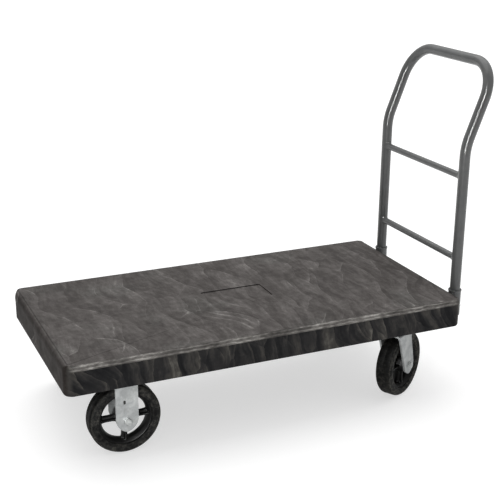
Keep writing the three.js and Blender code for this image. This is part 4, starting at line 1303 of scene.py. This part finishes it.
def core_mesh():
    # hub barrel, rim and ribbed spokes, with cast fillets
    v, f = lathe([(10.0, -30.5), (20.5, -30.5), (22.5, -29.5), (24.0, -27.0), (25.5, -16.0), (27.0, -9.0), (27.0, 9.0), (25.5, 16.0), (24.0, 27.0), (22.5, 29.5), (20.5, 30.5), (10.0, 30.5)], 96)
    core = make("core", v, f)
    v, f = lathe([(75.4, -20), (75.4, 20), (74.6, 20.8), (73.0, 20.8), (72.2, 20.0), (69.6, 16.0), (66.0, 10.0), (64.4, 3.0), (64.4, -3.0), (66.0, -10.0), (69.6, -16.0), (72.2, -20.0), (73.0, -20.8), (74.6, -20.8)], 128)
    boolean(core, make("rim", v, f), "UNION")
    for i in range(4):
        q = R("Z", i * math.pi / 2)
        o = []
        # flat web, wider at the hub and at the rim
        for x, h in ((20, 11.5), (28, 9.6), (36, 8.2), (46, 7.5), (56, 8.0), (62, 9.6), (68, 12.5)):
            o.append((x, h))
        outline = o + [(x, -h) for x, h in reversed(o)]
        v, f = prism(outline, -6.5, 6.5)
        boolean(core, make("web", v, f, matrix=q), "UNION")
        rib = []
        for x, h in ((20, 21.0), (30, 18.0), (44, 16.5), (58, 17.0), (66, 19.0)):
            rib.append([(x, 2.6, -h), (x, -2.6, -h), (x, -2.6, h), (x, 2.6, h)])
        v, f = loft(rib)
        boolean(core, make("rib", v, f, matrix=q), "UNION")
    m = core.modifiers.new("r", "REMESH")
    m.mode = "VOXEL"
    m.voxel_size = 1.25 * MM
    m.adaptivity = 0.0
    apply_mods(core)
    sm = core.modifiers.new("s", "SMOOTH")
    sm.factor = 0.6
    sm.iterations = 7
    apply_mods(core)
    d = core.modifiers.new("d", "DECIMATE")
    d.ratio = 0.35
    apply_mods(core)
    # clean machined bore and ends, exact rim seat
    v, f = cyl(10.0, -40, 40, 64)
    boolean(core, make("bore", v, f), "DIFFERENCE")
    v, f = lathe([(9.0, -30.4), (75.45, -30.4), (75.45, 30.4), (9.0, 30.4)], 160)
    boolean(core, make("env", v, f), "INTERSECT")
    tidy(core, 40)
    return core


def sleeve_mesh():
    L = LEG_IN - 0.3
    v, f = lathe([(6.5, -L + 0.3), (6.8, -L), (9.1, -L), (9.5, -L + 0.4), (9.5, L - 0.4), (9.1, L), (6.8, L), (6.5, L - 0.3)], 56)
    return make("sl", v, f)


def axle_bolt_mesh():
    face = LEG_IN + LEG_T + 0.3
    h = hexhead(19, face, face + 7.5)
    v, f = lathe([(0, -face - 12), (5.2, -face - 12), (6.0, -face - 11), (6.0, face + 0.4), (9.3, face + 0.0), (9.3, face + 0.6), (0, face + 0.6)], 48, closed=False)
    boolean(h, make("s", v, f), "UNION")
    weighted(h, 35)
    return h


def axle_nut_mesh():
    """lock nut: hexagon with a domed collar"""
    face = LEG_IN + LEG_T + 0.3
    h = hexhead(19, -face - 7.0, -face, both=True)
    v, f = lathe([(0, -face - 9.5), (7.4, -face - 9.5), (8.4, -face - 9.0), (8.8, -face - 8.0), (8.8, -face - 6.0), (0, -face - 6.0)], 48, closed=False)
    boolean(h, make("c", v, f), "UNION")
    v, f = cyl(6.4, -face - 12, -face + 2, 40)
    boolean(h, make("b", v, f), "DIFFERENCE")
    weighted(h, 35)
    return h


def build_wheels():
    for k, (sx, sy, swivel, side) in SITES.items():
        trail = TRAIL if swivel else 0.0
        ax = T(sx, sy) @ R("Z", YAW[k]) @ T(trail, 0, WHEEL_R) @ ALONG_Y
        place_copy("tyre", tyre_mesh, f"rubber_tyre_{k}", ax, M_TYRE, WHEEL_BODY[k], f"tyre_{k}")
        place_copy("core", core_mesh, f"cast_core_{k}", ax, M_CORE, WHEEL_BODY[k], f"wheel_core_{k}")
        axo = ax if side > 0 else ax @ R("X", math.pi)
        place_copy("sleeve", sleeve_mesh, f"spacer_{k}", ax, M_FAST, FORK_BODY[k], f"axle_sleeve_{k}")
        place_copy("axbolt", axle_bolt_mesh, f"axle_{k}", axo, M_FAST, FORK_BODY[k], f"axle_bolt_{k}")
        place_copy("axnut", axle_nut_mesh, f"lock_nut_{k}", axo, M_FAST, FORK_BODY[k], f"axle_nut_{k}")


build_wheels()


SUN_E = 1.35

# ------------------------------------------------------------------ floor, light, camera
def build_stage():
    v = [(-40, -40, 0), (40, -40, 0), (40, 40, 0), (-40, 40, 0)]
    me = bpy.data.meshes.new("floor")
    me.from_pydata(v, [], [(0, 1, 2, 3)])
    fl = bpy.data.objects.new("floor", me)
    SC.collection.objects.link(fl)
    fl.location.z = -0.0005
    me.materials.append(mat_floor())

    w = bpy.data.worlds.new("world")
    w.use_nodes = True
    SC.world = w
    t = w.node_tree
    bg = t.nodes.get("Background") or t.nodes.new("ShaderNodeBackground")
    co = t.nodes.new("ShaderNodeTexCoord")
    sp = t.nodes.new("ShaderNodeSeparateXYZ")
    t.links.new(co.outputs["Generated"], sp.inputs[0])
    up = t.nodes.new("ShaderNodeMapRange")
    up.interpolation_type = "SMOOTHSTEP"
    t.links.new(sp.outputs[2], up.inputs["Value"])
    up.inputs["From Min"].default_value, up.inputs["From Max"].default_value = 0.05, 0.75
    up.inputs["To Min"].default_value, up.inputs["To Max"].default_value = 0.30, 1.15
    fr = t.nodes.new("ShaderNodeMapRange")
    fr.interpolation_type = "SMOOTHSTEP"
    sx = t.nodes.new("ShaderNodeMath")
    sx.operation = "MULTIPLY"
    sx.inputs[1].default_value = 0.62
    t.links.new(sp.outputs[0], sx.inputs[0])
    sy = t.nodes.new("ShaderNodeMath")
    sy.operation = "MULTIPLY_ADD"
    sy.inputs[1].default_value = 0.78
    t.links.new(sp.outputs[1], sy.inputs[0])
    t.links.new(sx.outputs[0], sy.inputs[2])
    t.links.new(sy.outputs[0], fr.inputs["Value"])
    fr.inputs["From Min"].default_value, fr.inputs["From Max"].default_value = -0.85, 0.45
    fr.inputs["To Min"].default_value, fr.inputs["To Max"].default_value = 0.30, 1.0
    mu = t.nodes.new("ShaderNodeMath")
    mu.operation = "MULTIPLY"
    t.links.new(up.outputs["Result"], mu.inputs[0])
    t.links.new(fr.outputs["Result"], mu.inputs[1])
    bg.inputs[0].default_value = (1.0, 1.0, 1.0, 1.0)
    lp = t.nodes.new("ShaderNodeLightPath")
    pick = t.nodes.new("ShaderNodeMapRange")
    t.links.new(lp.outputs["Is Camera Ray"], pick.inputs["Value"])
    t.links.new(mu.outputs[0], pick.inputs["To Min"])
    pick.inputs["To Max"].default_value = 1.05
    t.links.new(pick.outputs["Result"], bg.inputs[1])

    def area(name, loc, target, size, energy, sy=None, diffuse=True):
        d = bpy.data.lights.new(name, "AREA")
        d.shape = "RECTANGLE"
        d.size, d.size_y = size, sy or size
        d.energy = energy
        o = bpy.data.objects.new(name, d)
        SC.collection.objects.link(o)
        o.location = loc
        o.rotation_euler = (Vector(target) - Vector(loc)).to_track_quat("-Z", "Y").to_euler()
        o.visible_diffuse = diffuse
        return o

    d = bpy.data.lights.new("sky_window", "SUN")
    d.energy, d.angle = SUN_E, math.radians(60)
    o = bpy.data.objects.new("sky_window", d)
    SC.collection.objects.link(o)
    o.rotation_euler = Vector((0.05, -0.42, -1.0)).to_track_quat("-Z", "Y").to_euler()

    # two tall strips that draw the thin highlights on the tubes
    eye = Vector((0.62, 0.0, 0.86))
    for i, (ang, wdt, e) in enumerate(((38.0, 0.12, 190), (47.5, 0.08, 130))):
        a = math.radians(ang)
        dv = Vector((-0.934 * math.cos(a), -math.sin(a), 0.356 * math.cos(a)))
        area(f"strip_{i}", eye + dv * 3.2, eye, wdt, e, 2.8, diffuse=False)

    SC.view_settings.view_transform = "Standard"
    SC.view_settings.look = "None"
    SC.view_settings.exposure = 0.0
    SC.view_settings.gamma = 1.0


build_stage()


def build_camera():
    az, el, roll = -0.424, 0.3335, 0.0082
    back = Vector((math.sin(az) * math.cos(el), -math.cos(az) * math.cos(el), math.sin(el)))
    right = Vector((math.cos(az), math.sin(az), 0.0))
    up = back.cross(right)
    r2 = right * math.cos(roll) + up * math.sin(roll)
    u2 = right * -math.sin(roll) + up * math.cos(roll)
    cd = bpy.data.cameras.new("camera")
    cd.sensor_width = 36.0
    cd.lens = 1049.27 * 36.0 / 500.0
    cam = bpy.data.objects.new("camera", cd)
    SC.collection.objects.link(cam)
    m = Matrix((r2, u2, back)).transposed().to_4x4()
    m.translation = Vector((-1176.5 + DECK_X, -2703.4, 1161.2 + DECK_TOP)) * MM
    cam.matrix_world = m
    cd.clip_start, cd.clip_end = 0.05, 200.0
    SC.camera = cam


build_camera()

bpy.context.view_layer.update()
